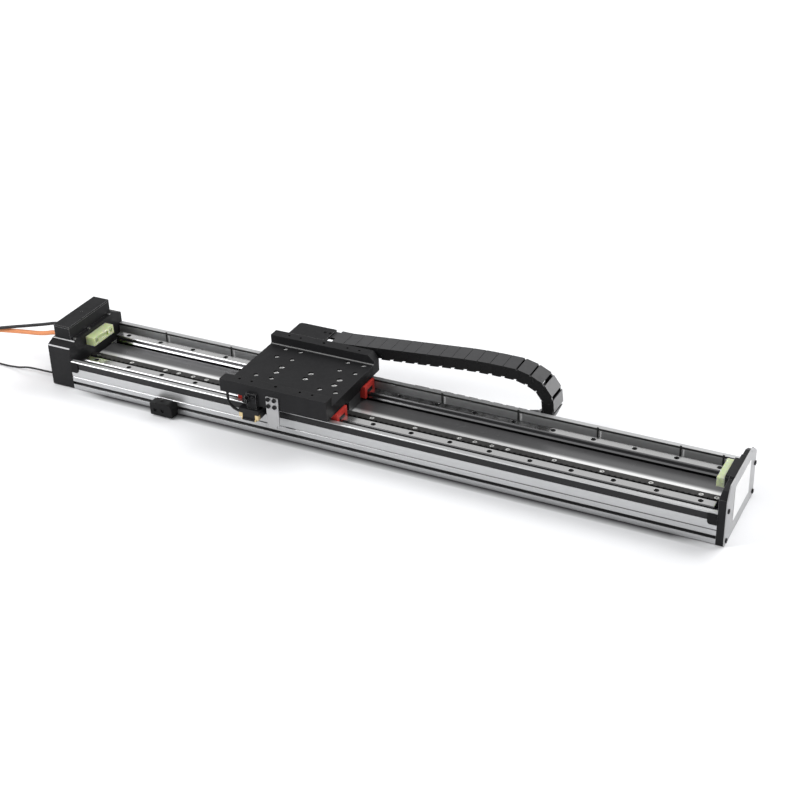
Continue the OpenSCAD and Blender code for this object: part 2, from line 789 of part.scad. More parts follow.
module limit_sensor() {
    round_r = 8;
    back_y = -half_width - clamp_plate;
    color([0.15, 0.15, 0.16]) difference() {
        union() {
            block([limit_x[0], limit_front_y, limit_z[0]], [limit_x[1], back_y, limit_z[1] - round_r]);
            block([limit_x[0] + 9, limit_front_y, limit_z[0]], [limit_x[1] - round_r, back_y, limit_z[1]]);
            block([limit_x[0], limit_front_y, limit_z[0]], [limit_x[0] + 10, back_y, limit_z[1] - 2]);
            cylinder_y([limit_x[1] - round_r, limit_front_y, limit_z[1] - round_r], round_r,
                back_y - limit_front_y);
        }
        for (x = limit_screw_x) {
            cylinder_y([x, limit_front_y - 1, limit_screw_z], 3.1, 5);
            cylinder_y([x, limit_front_y, limit_screw_z], 1.55, limit_depth);
        }
    }
}

module limit_sensor_clamp() {
    neck_y = -half_width + slot_lip;
    color([0.15, 0.15, 0.16]) difference() {
        union() {
            block([limit_x[0] + 1, -half_width - clamp_plate, limit_z[0]],
                [limit_x[1] - 1, -half_width, limit_z[1] - 3]);
            block([limit_x[0] + 4, -half_width - 0.01, slot_z + 0.2],
                [limit_x[1] - 4, neck_y + 0.01, slot_z + slot_mouth - 0.2]);
            block([limit_x[0] + 4, neck_y, slot_z - 1.6],
                [limit_x[1] - 4, neck_y + 2.6, slot_z + slot_mouth + 1.6]);
        }
        for (x = limit_screw_x)
            cylinder_y([x, -half_width - clamp_plate - 1, limit_screw_z], 1.55,
                slot_depth + clamp_plate + 2);
    }
}

module limit_sensor_screws() {
    color("dimgray") {
        for (x = limit_screw_x)
            translate([x, limit_seat_y, limit_screw_z]) rotate([90, 0, 0])
                cap_screw([0, 0, 0], 1.5, limit_screw_reach, 2.75, 2.5);
        cylinder_z([limit_x[0] + 16, -half_width - 9, limit_z[1]], 2.2, 1.6);
    }
}

// ---- chain ----

// one of the two layers of a link's side; its round ear is at ear_x and it keeps clear of the ear at clear_x
module ear_layer(y, ear_x, clear_x) {
    difference() {
        union() {
            block([base_end, y, -link_half_height], [chain_pitch - base_end, y + ear_thickness, lid_z]);
            block([min(ear_x, chain_pitch / 2), y, -ear_r],
                [max(ear_x, chain_pitch / 2), y + ear_thickness, ear_r]);
            cylinder_y([ear_x, y, 0], ear_r, ear_thickness);
        }
        cylinder_y([clear_x, y - 1, 0], ear_r + part_gap, ear_thickness + 2);
    }
}

// a link's side from its outer face inwards; the inner ear carries the hole and the outer ear the pin
module link_side() {
    inner_y = ear_thickness + ear_gap;
    union() {
        ear_layer(0, chain_pitch, 0);
        difference() {
            ear_layer(inner_y, 0, chain_pitch);
            cylinder_y([0, 0, 0], link_pin_r + pin_clearance, side_thickness + 1);
        }
        difference() {
            block([base_end, 0, -link_half_height], [chain_pitch - base_end, side_thickness, lid_z]);
            cylinder_y([0, -1, 0], ear_r + part_gap, side_thickness + 2);
            cylinder_y([chain_pitch, -1, 0], ear_r + part_gap, side_thickness + 2);
        }
        cylinder_y([chain_pitch, ear_thickness - 0.01, 0], link_pin_r, link_pin_length + ear_gap);
    }
}

module both_sides() {
    children();
    translate([0, chain_width, 0]) mirror([0, 1, 0]) children();
}

module link() {
    union() {
        both_sides() link_side();
        block([lid_end, 0, lid_z], [chain_pitch - lid_end, chain_width, link_half_height]);
        block([base_end, 0.01, -link_half_height], [chain_pitch - base_end, chain_width - 0.01, -lid_z]);
    }
}

// links in a row; each one starts on the pin where the last one ended
module chain_run(start, angles) {
    for (i = [0 : len(angles) - 1]) {
        at = pivots_from(start, angles, i);
        translate([at[0], chain_y, at[1]]) rotate([0, -angles[i], 0]) link();
    }
}

module chain_upper_run() {
    color([0.27, 0.27, 0.28]) chain_run(chain_start, upper_angles);
}

module chain_bend_upper() {
    color([0.27, 0.27, 0.28]) chain_run(bend_start, bend_upper_angles);
}

module chain_bend_lower() {
    color([0.27, 0.27, 0.28]) chain_run(bend_middle, bend_lower_angles);
}

module chain_lower_run() {
    color([0.27, 0.27, 0.28]) chain_run(lower_start, lower_angles);
}

// the chain's first piece, which the bracket carries; it ends in outer ears with pins
module chain_moving_end() {
    tongue_top = rim_top_z - chain_bracket_thickness - chain_start[1];
    color([0.2, 0.2, 0.21]) translate([chain_start[0], chain_y, chain_start[1]]) union() {
        both_sides() {
            difference() {
                block([-20, 0, -link_half_height], [-base_end, side_thickness, lid_z]);
                cylinder_y([0, ear_thickness, 0], ear_r + part_gap, side_thickness);
            }
            block([-10, 0, -ear_r], [0, ear_thickness, ear_r]);
            cylinder_y([0, 0, 0], ear_r, ear_thickness);
            cylinder_y([0, ear_thickness - 0.01, 0], link_pin_r, link_pin_length + ear_gap);
        }
        block([-20, 0, lid_z], [-first_lid_end, chain_width, link_half_height]);
        block([-20, 0.01, -link_half_height], [-base_end, chain_width - 0.01, -lid_z]);
        difference() {
            block([-52, 13, tongue_top - tongue_thickness],
                [-12, chain_width - side_thickness - 0.2, tongue_top]);
            for (x = tongue_screw_x)
                cylinder_z([x, tongue_screw_y, tongue_top - tongue_thickness - 1],
                    tongue_screw_r + screw_clearance, tongue_thickness + 2);
        }
    }
}

// the chain's last piece, on the tray; its inner ears hold the last link's pins
module chain_fixed_end() {
    color([0.2, 0.2, 0.21]) translate([lower_end[0], chain_y, lower_end[1]]) rotate([0, 180, 0]) union() {
        both_sides() difference() {
            union() {
                block([0, ear_thickness + ear_gap, -ear_r], [12, side_thickness, ear_r]);
                cylinder_y([0, ear_thickness + ear_gap, 0], ear_r, ear_thickness);
                difference() {
                    block([base_end, 0, -link_half_height],
                        [fixed_end_length - 4, side_thickness, link_half_height + part_gap]);
                    cylinder_y([0, -1, 0], ear_r + part_gap, ear_thickness + ear_gap + 1);
                }
            }
            cylinder_y([0, 0, 0], link_pin_r + pin_clearance, side_thickness + 1);
        }
        block([12, 0, link_half_height + part_gap - 3],
            [fixed_end_length, chain_width, link_half_height + part_gap]);
    }
}

module chain_tray() {
    color([0.2, 0.2, 0.21]) union() {
        block([tray_x[0], half_width, tray_z], [tray_x[1], tray_rear_y, tray_z + tray_thickness]);
        block([tray_x[0], tray_rear_y - 2, tray_z], [tray_x[1], tray_rear_y, tray_z + tray_lip]);
        block([tray_x[0], half_width, tray_z], [tray_x[1], half_width + 2.5, tray_z + tray_wall_height]);
        block([tray_x[0], half_width - slot_lip - 1, slot_z + 0.2],
            [tray_x[1], half_width + 0.01, slot_z + slot_mouth - 0.2]);
    }
}

// ---- carriage ----

module carriage_plate() {
    color([0.18, 0.18, 0.19]) difference() {
        along_x(carriage_left, carriage_right) polygon([
            [rim_front_y[0], carriage_z], [rim_rear_y[1], carriage_z], [rim_rear_y[1], rim_top_z],
            [rim_rear_y[0], rim_top_z], [rim_rear_y[0], carriage_top_z + rim_foot],
            [rim_rear_y[0] - 2, carriage_top_z + rim_foot], [rim_rear_y[0] - 2, carriage_top_z],
            [rim_front_y[1], carriage_top_z], [rim_front_y[1], rim_top_z], [rim_front_y[0], rim_top_z]
        ]);
        translate([carriage_right, rim_rear_y[1], rim_top_z]) rotate([90, 0, 0])
            linear_extrude(40, center = true)
            polygon([[-10, 1], [1, 1], [1, -10]]);
        for (x = rim_hole_x, s = [-1, 1])
            cylinder_z([carriage_x + x, s * rim_hole_spacing / 2, rim_top_z - rim_hole_depth],
                rim_hole_d / 2, rim_hole_depth + 1);
        for (s = [-1, 1])
            cylinder_z([carriage_x, s * rim_hole_spacing / 2, rim_top_z - rim_hole_depth],
                rim_middle_r, rim_hole_depth + 1);
        for (at = block_screw_places()) {
            cylinder_z([at[0], at[1], carriage_z - 1], plate_bore_r, carriage_thickness + 2);
            cylinder_z([at[0], at[1], carriage_top_z - plate_counterbore_depth], plate_counterbore_r,
                plate_counterbore_depth + 1);
        }
        for (x = forcer_screw_x, y = forcer_screw_y) {
            cylinder_z([carriage_x + x, y, carriage_z - 1], forcer_bore_r, carriage_thickness + 2);
            cylinder_z([carriage_x + x, y, carriage_top_z - forcer_counterbore_depth], forcer_counterbore_r,
                forcer_counterbore_depth + 1);
        }
        block([carriage_left - 1, rim_front_y[0] - 1, carriage_z - 1],
            [lead_recess_x, lead_recess_y, lead_recess_z]);
        for (at = bracket_screw_places())
            cylinder_y([at[0], rim_front_y[0] - 1, at[1]], 1.55, 9);
        for (x = flange_screw_x)
            cylinder_y([chain_bracket_middle + x, rim_rear_y[1] - 9, flange_screw_z],
                flange_screw_r + screw_clearance, 10);
    }
}

block_x_places = [carriage_x + 7.8 - block_spacing / 2, carriage_x + 7.8 + block_spacing / 2];
chain_bracket_middle = (chain_bracket_x[0] + chain_bracket_x[1]) / 2;

function block_screw_places() = [
    for (x = block_x_places, s = [-1, 1], dx = [-1, 1], dy = [-1, 1])
        [x + dx * block_screw_offset, s * rail_y + dy * block_screw_offset]
];

module rail_cutter(x0, x1) {
    translate([0, 0, seat_z]) along_x(x0, x1) offset_rail_outline();
}

// the rail's outline grown by the part gap, so that a block or cap runs clear of the rail
module offset_rail_outline() {
    half = rail_width / 2 + part_gap;
    right = [
        [half, -1], [half, 5.2], [half - rail_waist, 7.2], [half - rail_waist, 9.6], [half - 0.3, 11.4],
        [half - 0.3, 13.6 + part_gap], [half - 1.3, rail_height + part_gap]
    ];
    left = [for (i = [len(right) - 1 : -1 : 0]) [-right[i][0], right[i][1]]];
    polygon(concat(right, left));
}

module bearing_block(x, y) {
    half = block_width / 2;
    color([0.32, 0.32, 0.33]) difference() {
        translate([0, y, 0]) along_x(x - block_body_length / 2, x + block_body_length / 2) polygon([
            [-half + 2, block_z], [half - 2, block_z], [half, block_z + 3], [half, block_top_z],
            [-half, block_top_z], [-half, block_z + 3]
        ]);
        translate([0, y, 0]) rail_cutter(x - block_body_length, x + block_body_length);
        for (dx = [-1, 1], dy = [-1, 1])
            cylinder_z([x + dx * block_screw_offset, y + dy * block_screw_offset,
                block_top_z - block_screw_reach],
                rail_screw_r + screw_clearance, block_screw_reach + 1);
    }
}

module block_front_left() {
    bearing_block(block_x_places[0], -rail_y);
}

module block_front_right() {
    bearing_block(block_x_places[1], -rail_y);
}

module block_rear_left() {
    bearing_block(block_x_places[0], rail_y);
}

module block_rear_right() {
    bearing_block(block_x_places[1], rail_y);
}

module block_caps() {
    half = block_width / 2 - cap_inset;
    color([0.75, 0.15, 0.13]) for (x = block_x_places, s = [-1, 1], e = [-1, 1]) {
        x0 = e < 0 ? x - block_body_length / 2 - block_cap_length : x + block_body_length / 2;
        difference() {
            translate([0, s * rail_y, 0]) along_x(x0, x0 + block_cap_length) polygon([
                [-half + 2, block_z + cap_inset], [half - 2, block_z + cap_inset], [half, block_z + 3],
                [half, block_top_z - cap_inset], [-half, block_top_z - cap_inset], [-half, block_z + 3]
            ]);
            translate([0, s * rail_y, 0]) rail_cutter(x0 - 1, x0 + block_cap_length + 1);
        }
    }
}

module block_screws() {
    color("silver") for (at = block_screw_places())
        cap_screw([at[0], at[1], carriage_top_z - plate_counterbore_depth], rail_screw_r,
            carriage_thickness - plate_counterbore_depth + block_screw_reach - 0.5, plate_head_r, 4);
}

module forcer_plate() {
    color([0.35, 0.35, 0.36]) difference() {
        block([forcer_x - forcer_length / 2, forcer_plate_y[0], forcer_plate_z],
            [forcer_x + forcer_length / 2, forcer_plate_y[1], carriage_z]);
        for (x = forcer_screw_x, y = forcer_screw_y)
            cylinder_z([carriage_x + x, y, forcer_plate_z + 0.5], end_screw_r + screw_clearance, 10);
    }
}

module forcer() {
    color([0.12, 0.12, 0.13]) block([forcer_x - forcer_length / 2, forcer_y[0], forcer_bottom_z],
        [forcer_x + forcer_length / 2, forcer_y[1], forcer_plate_z]);
}

module forcer_screws() {
    color("silver") for (x = forcer_screw_x, y = forcer_screw_y)
        cap_screw([carriage_x + x, y, carriage_top_z - forcer_counterbore_depth], end_screw_r,
            carriage_thickness - forcer_counterbore_depth + 5, forcer_head_r, 5);
}

// ---- read head and flag ----

head_top_z = 54;
head_bottom_z = 36;
bracket_x = [head_x - 4.2, head_x + 11.8];

function bracket_screw_places() = [
    for (x = [bracket_x[0] + 4, bracket_x[1] - 4]) [x, carriage_z + 15]
];

module read_head_bracket() {
    color([0.12, 0.12, 0.13]) difference() {
        union() {
            block([bracket_x[0], bracket_y[1] - 4, head_top_z],
                [bracket_x[1], bracket_y[1], carriage_z + 20]);
            block([bracket_x[0], bracket_y[1] - 4, head_top_z], [bracket_x[1], head_back_y, head_top_z + 4]);
            block([bracket_x[0], bracket_y[0], carriage_z + 5],
                [bracket_x[0] + 4, bracket_y[1], carriage_z + 17]);
        }
        for (at = bracket_screw_places()) {
            cylinder_y([at[0], bracket_y[0] - 1, at[1]], 1.7, 12);
            cylinder_y([at[0], bracket_y[0] - 1, at[1]], 3.1, bracket_y[1] - 4 - bracket_y[0] + 1);
        }
    }
}

module read_head() {
    color([0.13, 0.13, 0.14]) difference() {
        union() {
            block([head_x - 16.4, head_front_y, head_bottom_z + 3],
                [head_x + 16.1, head_back_y, head_top_z]);
            block([head_x - 12, head_front_y - 1.5, head_bottom_z],
                [head_x + 12, head_back_y, head_bottom_z + 3.01]);
        }
        cylinder_x([head_x - 17.4, -81, 41], lead_r + screw_clearance, 2.5);
    }
}

module read_head_lead() {
    color([0.1, 0.1, 0.11]) tube(lead_route, lead_r, 8);
}

module sensor_flag() {
    color("silver") difference() {
        union() {
            block([flag_x - 10, bracket_y[1] - flag_thickness, carriage_z - 30 + 4],
                [flag_x + 10, bracket_y[1], carriage_z + 20]);
            block([flag_x - 6, bracket_y[1] - flag_thickness, carriage_z - 30],
                [flag_x + 6, bracket_y[1], carriage_z]);
        }
        for (at = flag_screw_places())
            cylinder_y([at[0], bracket_y[0], at[1]], 1.7, 12);
    }
}

function flag_screw_places() = [
    for (dx = [-1, 1], dz = [-1, 1]) [flag_x - 1 + dx * 5, carriage_z + 11 + dz * 5.5]
];

module flag_screws() {
    color([0.1, 0.1, 0.11]) {
        for (at = flag_screw_places())
            translate([at[0], bracket_y[1] - flag_thickness, at[1]]) rotate([90, 0, 0])
                cap_screw([0, 0, 0], 1.5, flag_thickness, 3.3, 2);
        for (at = bracket_screw_places())
            translate([at[0], bracket_y[1] - 4, at[1]]) rotate([90, 0, 0])
                cap_screw([0, 0, 0], 1.5, 12, 2.75, 2.5);
    }
}

// ---- chain bracket ----

module chain_bracket() {
    corner_r = 5;
    rear_y = rim_rear_y[1] + 37;
    low_z = rim_top_z - chain_bracket_thickness;
    color([0.2, 0.2, 0.21]) difference() {
        union() {
            block([chain_bracket_x[0], rim_rear_y[1], low_z],
                [chain_bracket_x[1], rear_y - corner_r, rim_top_z]);
            block([chain_bracket_x[0] + corner_r, rim_rear_y[1], low_z],
                [chain_bracket_x[1], rear_y, rim_top_z]);
            cylinder_z([chain_bracket_x[0] + corner_r, rear_y - corner_r, low_z], corner_r,
                chain_bracket_thickness);
            block([chain_bracket_x[0], rim_rear_y[1], carriage_z + 4],
                [chain_bracket_x[1], rim_rear_y[1] + chain_bracket_thickness, rim_top_z]);
        }
        for (x = flange_screw_x)
            cylinder_y([chain_bracket_middle + x, rim_rear_y[1] - 1, flange_screw_z],
                flange_screw_r + screw_clearance, 8);
        for (x = tongue_screw_x)
            cylinder_z([chain_start[0] + x, chain_y + tongue_screw_y, low_z - 1],
                tongue_screw_r + screw_clearance, 8);
    }
}

// two screws hold the bracket to the carriage, and two hold the chain's tongue under it
module chain_bracket_screws() {
    color([0.1, 0.1, 0.11]) {
        for (x = flange_screw_x)
            translate([chain_bracket_middle + x, rim_rear_y[1] + chain_bracket_thickness, flange_screw_z])
                rotate([-90, 0, 0])
                    cap_screw([0, 0, 0], flange_screw_r, chain_bracket_thickness + 8, 3.5, 3);
        for (x = tongue_screw_x)
            cap_screw([chain_start[0] + x, chain_y + tongue_screw_y, rim_top_z],
                tongue_screw_r, chain_bracket_thickness + tongue_thickness, 2.3, 1.2);
    }
}

// ---- cables ----

module power_cable() {
    color([0.88, 0.5, 0.25]) tube(power_route, power_d / 2, 12);
}

module encoder_cable() {
    color([0.1, 0.1, 0.11]) tube(encoder_route, encoder_d / 2, 10);
}

module sensor_cable() {
    color([0.1, 0.1, 0.11]) tube(sensor_route, sensor_d / 2, 8);
}

// a round connector along the last stretch of a route: a nut, a grip and the mating nose
module round_plug(route, r, length) {
    n = len(route);
    end = route[n - 1];
    d = end - route[n - 2];
    turn = atan2(d[1], d[0]);
    tilt = acos(d[2] / norm(d));
    translate(end) rotate([0, tilt, turn]) union() {
        cylinder(r = r * 0.75, h = length * 0.2);
        translate([0, 0, length * 0.2]) cylinder(r = r, h = length * 0.55);
        translate([0, 0, length * 0.75]) cylinder(r = r * 0.7, h = length * 0.25);
    }
}

module power_plug() {
    color([0.6, 0.6, 0.62]) round_plug(power_route, 8.4, 46);
}

module encoder_plug() {
    color([0.6, 0.6, 0.62]) round_plug(encoder_route, 6.6, 40);
}

module sensor_plug() {
    color([0.12, 0.12, 0.13]) round_plug(sensor_route, 4.8, 34);
}

base_profile();
front_rail();
rear_rail();
rail_screws();
magnet_plates();
magnets();
magnet_cover();
magnet_clamp_bars();
magnet_screws();
wall_trim();
rail_pins();
left_end_block();
end_block_screws();
right_end_plate();
right_cover_plate();
cover_plate_screws();
left_bumper();
right_bumper();
bumper_screws();
junction_box();
junction_lid();
power_gland();
encoder_gland();
sensor_gland();
scale_strip();
scale_clips();
limit_sensor();
limit_sensor_clamp();
limit_sensor_screws();
chain_tray();
chain_fixed_end();
chain_lower_run();
carriage_plate();
block_front_left();
block_front_right();
block_rear_left();
block_rear_right();
block_caps();
block_screws();
forcer_plate();
forcer();
forcer_screws();
read_head_bracket();
read_head();
read_head_lead();
sensor_flag();
flag_screws();
chain_bracket();
chain_bracket_screws();
chain_moving_end();
chain_upper_run();
chain_bend_upper();
chain_bend_lower();
power_cable();
power_plug();
encoder_cable();
encoder_plug();
sensor_cable();
sensor_plug();
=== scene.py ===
"""Dresses the linear motor axis: free cables, chain runs, label and a finish for every piece.

Everything is in metres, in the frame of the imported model: X along the rails, -Y towards the scale
side and Z up, with the origin under the middle of the base.
"""

import json
import logging
import math
from dataclasses import dataclass
from enum import Enum
from typing import Optional, Sequence

import bmesh
import bpy
import numpy as np
from mathutils import Matrix, Vector


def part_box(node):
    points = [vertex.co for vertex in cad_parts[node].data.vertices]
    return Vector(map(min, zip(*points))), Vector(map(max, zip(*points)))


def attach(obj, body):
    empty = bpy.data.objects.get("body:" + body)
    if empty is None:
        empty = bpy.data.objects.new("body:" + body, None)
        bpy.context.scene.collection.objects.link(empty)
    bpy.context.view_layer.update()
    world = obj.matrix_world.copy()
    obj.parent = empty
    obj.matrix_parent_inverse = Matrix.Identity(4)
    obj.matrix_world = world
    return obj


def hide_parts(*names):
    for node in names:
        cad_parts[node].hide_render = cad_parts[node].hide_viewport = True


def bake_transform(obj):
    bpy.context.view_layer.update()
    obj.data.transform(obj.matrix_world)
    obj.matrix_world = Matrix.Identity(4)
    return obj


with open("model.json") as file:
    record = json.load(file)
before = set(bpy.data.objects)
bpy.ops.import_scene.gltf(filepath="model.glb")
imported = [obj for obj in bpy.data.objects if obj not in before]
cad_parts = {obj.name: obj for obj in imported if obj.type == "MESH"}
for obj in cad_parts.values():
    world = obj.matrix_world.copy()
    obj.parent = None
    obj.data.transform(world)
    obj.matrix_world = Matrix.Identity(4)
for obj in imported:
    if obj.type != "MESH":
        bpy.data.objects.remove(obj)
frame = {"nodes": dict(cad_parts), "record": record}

LOG = logging.getLogger("linear_axis")
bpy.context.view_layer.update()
Point = tuple[float, float, float]
Colour = tuple[float, float, float]
Socket = bpy.types.NodeSocket

# sizes of the patches that vary a finish's colour and gloss, in cycles per metre
COLOUR_PATCHES = 22.0
GLOSS_PATCHES = 31.0
# how much finer the patches' second noise is, and the product's levels that become 0 and 1
FINER_PATCHES = 4.7
PATCH_LEVELS = (0.12, 0.42)
# drawn lines: cycles per metre along them, the noise levels where they are clear and where they are dark,
# and how much darker they are, in steps of the finish's variation
LINE_STRETCH = 4.0
LINE_LEVELS = (0.62, 0.35)
LINE_DEPTH = 1.6
# how well the rounded normal follows the face's own where a flat ends and where an edge is
EDGE_LEVELS = (0.98, 0.8)
# how far the grain moves the roughness
GRAIN_GLOSS = 0.04
# distance between two rings of a cable
CABLE_STEP = 0.004


# ---- Shader building ----


class Graph:
    """A thin wrapper round a node tree, so that a shader reads as a list of steps."""

    def __init__(self, tree: bpy.types.NodeTree) -> None:
        """Keeps the tree.

        Args:
            tree: The material's, world's or group's node tree.
        """
        self.tree = tree

    def node(self, kind: str, **settings: object) -> bpy.types.Node:
        """Adds a node and sets its properties.

        Args:
            kind: The node's type name.
            settings: Property names and values.

        Returns:
            The new node.
        """
        made = self.tree.nodes.new(kind)
        for name, value in settings.items():
            setattr(made, name, value)
        return made

    def feed(self, socket: Socket, value: object) -> None:
        """Links an input or sets its constant; a colour's alpha is 1.

        Args:
            socket: The input.
            value: A socket, number or tuple.
        """
        if isinstance(value, Socket):
            self.tree.links.new(value, socket)
        elif socket.type == "RGBA":
            socket.default_value = (*value, 1.0)
        else:
            socket.default_value = value

    def put(self, node: bpy.types.Node, **values: object) -> bpy.types.Node:
        """Feeds a node's inputs by name.

        Args:
            node: The node to fill.
            values: Socket names, with underscores for spaces, and their values.

        Returns:
            The same node.
        """
        for name, value in values.items():
            self.feed(node.inputs[name.replace("_", " ")], value)
        return node

    def math(self, operation: str, *values: object) -> Socket:
        """A Math node.

        Args:
            operation: The operation's name.
            values: One to three numbers or sockets.

        Returns:
            The result.
        """
        node = self.node("ShaderNodeMath", operation=operation)
        for socket, value in zip(node.inputs, values):
            self.feed(socket, value)
        return node.outputs[0]

    def within(self, value: Socket, low: Optional[float] = None, high: Optional[float] = None) -> Socket:
        """1 where a value is above the low limit and below the high one.

        Args:
            value: The socket to read.
            low: The low limit, or None.
            high: The high limit, or None.

        Returns:
            The mask.
        """
        limits = (("GREATER_THAN", low), ("LESS_THAN", high))
        return self.all_of(*[self.math(test, value, limit) for test, limit in limits if limit is not None])

    def near(self, first: Socket, second: Socket, reach: float) -> Socket:
        """1 where the root of the two squares' sum is below the reach.

        Args:
            first: The distance along one axis.
            second: The distance along the other.
            reach: The circle's radius.

        Returns:
            The mask.
        """
        square = self.math("MULTIPLY_ADD", first, first, self.math("MULTIPLY", second, second))
        return self.within(self.math("SQRT", square), high=reach)

    def all_of(self, first: Socket, *others: object) -> Socket:
        """The product of masks, which is 1 where each of them is.

        Args:
            first: A mask.
            others: More masks, or shares to weaken it by.

        Returns:
            The product.
        """
        for mask in others:
            first = self.math("MULTIPLY", first, mask)
        return first

    def parts(self, output: str = "Object") -> bpy.types.bpy_prop_collection:
        """The X, Y and Z of a texture coordinate.

        Args:
            output: Which one, such as the object's own place or its normal.

        Returns:
            The three sockets by name.
        """
        whole = self.node("ShaderNodeTexCoord").outputs[output]
        return self.put(self.node("ShaderNodeSeparateXYZ"), Vector=whole).outputs

    def ramp(self, value: Socket, low: float, high: float) -> Socket:
        """Turns a value into 0 to 1 between two limits, clamped.

        Args:
            value: The socket to read.
            low: Where the result is 0.
            high: Where the result is 1.

        Returns:
            The result.
        """
        node = self.node("ShaderNodeMapRange", clamp=True)
        return self.put(node, Value=value, From_Min=low, From_Max=high).outputs["Result"]

    def mix(self, factor: object, first: object, second: object) -> Socket:
        """Mixes two colours.

        Args:
            factor: A number or socket.
            first: The colour or socket at 0.
            second: The colour or socket at 1.

        Returns:
            The mixed colour.
        """
        node = self.node("ShaderNodeMix", data_type="RGBA")
        for index, value in ((0, factor), (6, first), (7, second)):
            self.feed(node.inputs[index], value)
        return node.outputs[2]

    def noise(self, place: Socket, scale: object, detail: float) -> Socket:
        """A noise texture.

        Args:
            place: Where it is read.
            scale: Its cycles per unit, a number or a socket.
            detail: Its octaves.

        Returns:
            Its value, from 0 to 1.
        """
        texture = self.node("ShaderNodeTexNoise")
        return self.put(texture, Vector=place, Scale=scale, Detail=detail).outputs["Fac"]

    def group(self, tree: bpy.types.NodeTree, **values: float) -> Socket:
        """Places one of the shared groups.

        Args:
            tree: The group.
            values: Its inputs' names and values.

        Returns:
            Its Value.
        """
        return self.put(self.node("ShaderNodeGroup", node_tree=tree), **values).outputs["Value"]


class GroupGraph(Graph):
    """The inside of a new node group that turns numbers into one Value."""

    def __init__(self, name: str, **defaults: float) -> None:
        """Makes the group, its inputs and its output.

        Args:
            name: Its name.
            defaults: Its inputs' names and defaults.
        """
        super().__init__(bpy.data.node_groups.new(name, "ShaderNodeTree"))
        sockets = self.tree.interface
        for label, default in defaults.items():
            given = sockets.new_socket(label, in_out="INPUT", socket_type="NodeSocketFloat")
            given.default_value = default
        sockets.new_socket("Value", in_out="OUTPUT", socket_type="NodeSocketFloat")
        self.entry = self.node("NodeGroupInput")

    def given(self, name: str) -> Socket:
        """One of the group's inputs.

        Args:
            name: The input's name.

        Returns:
            The socket inside the group.
        """
        return self.entry.outputs[name]

    def result(self, value: Socket) -> bpy.types.NodeTree:
        """Sends a value to the group's output.

        Args:
            value: The value.

        Returns:
            The finished group.
        """
        self.put(self.node("NodeGroupOutput"), Value=value)
        return self.tree


class Effects:
    """The shader effects that several finishes share, each a node group built once."""

    def __init__(self) -> None:
        """Builds every group."""
        self.grain = self._grain()
        self.lines = self._lines()
        self.handling = self._handling()
        self.edges = self._edges()

    @staticmethod
    def _grain() -> bpy.types.NodeTree:
        """A fine even grain, as on blasted and anodised metal or moulded plastic.

        Returns:
            The group: Scale in, Value (0 to 1) out.
        """
        group = GroupGraph("fine_grain", Scale=2500.0)
        place = group.node("ShaderNodeTexCoord").outputs["Object"]
        return group.result(group.noise(place, group.given("Scale"), 3.0))

    @staticmethod
    def _lines() -> bpy.types.NodeTree:
        """Lines along X, as drawing or grinding leaves: noise squeezed across and stretched along.

        Returns:
            The group: Across and Along scales in, Value (0 to 1) out.
        """
        group = GroupGraph("drawn_lines", Across=900.0, Along=6.0)
        place = group.parts()
        squeezed = {
            axis: group.math("MULTIPLY", place[axis], group.given(scale))
            for axis, scale in (("X", "Along"), ("Y", "Across"), ("Z", "Across"))
        }
        joined = group.put(group.node("ShaderNodeCombineXYZ"), **squeezed)
        return group.result(group.noise(joined.outputs[0], 1.0, 4.0))

    @staticmethod
    def _handling() -> bpy.types.NodeTree:
        """Soft patches where hands and wiping change the gloss: two sizes of noise multiplied.

        Returns:
            The group: Scale in, Value (0 to 1) out.
        """
        group = GroupGraph("handling_patches", Scale=18.0)
        place = group.node("ShaderNodeTexCoord").outputs["Object"]
        wide = group.noise(place, group.given("Scale"), 2.0)
        small = group.noise(place, group.math("MULTIPLY", group.given("Scale"), FINER_PATCHES), 3.0)
        return group.result(group.ramp(group.math("MULTIPLY", wide, small), *PATCH_LEVELS))

    @staticmethod
    def _edges() -> bpy.types.NodeTree:
        """Where an edge is: one less the dot product of the rounded normal and the face's own.

        Returns:
            The group: Radius in, Value (0 on flats to 1 on edges) out.
        """
        group = GroupGraph("edge_places", Radius=0.0005)
        rounded = group.put(group.node("ShaderNodeBevel", samples=6), Radius=group.given("Radius"))
        product = group.node("ShaderNodeVectorMath", operation="DOT_PRODUCT")
        group.feed(product.inputs[0], rounded.outputs[0])
        group.feed(product.inputs[1], group.node("ShaderNodeNewGeometry").outputs["True Normal"])
        return group.result(group.ramp(product.outputs["Value"], *EDGE_LEVELS))


class MaterialGraph(Graph):
    """The inside of a new material."""

    def __init__(self, name: str, effects: Optional[Effects] = None) -> None:
        """Makes the material.

        Args:
            name: Its name.
            effects: The shared groups, where it uses them.
        """
        self.material = bpy.data.materials.new(name)
        self.material.use_nodes = True
        super().__init__(self.material.node_tree)
        self.surface = self.tree.nodes["Principled BSDF"]
        self.effects = effects


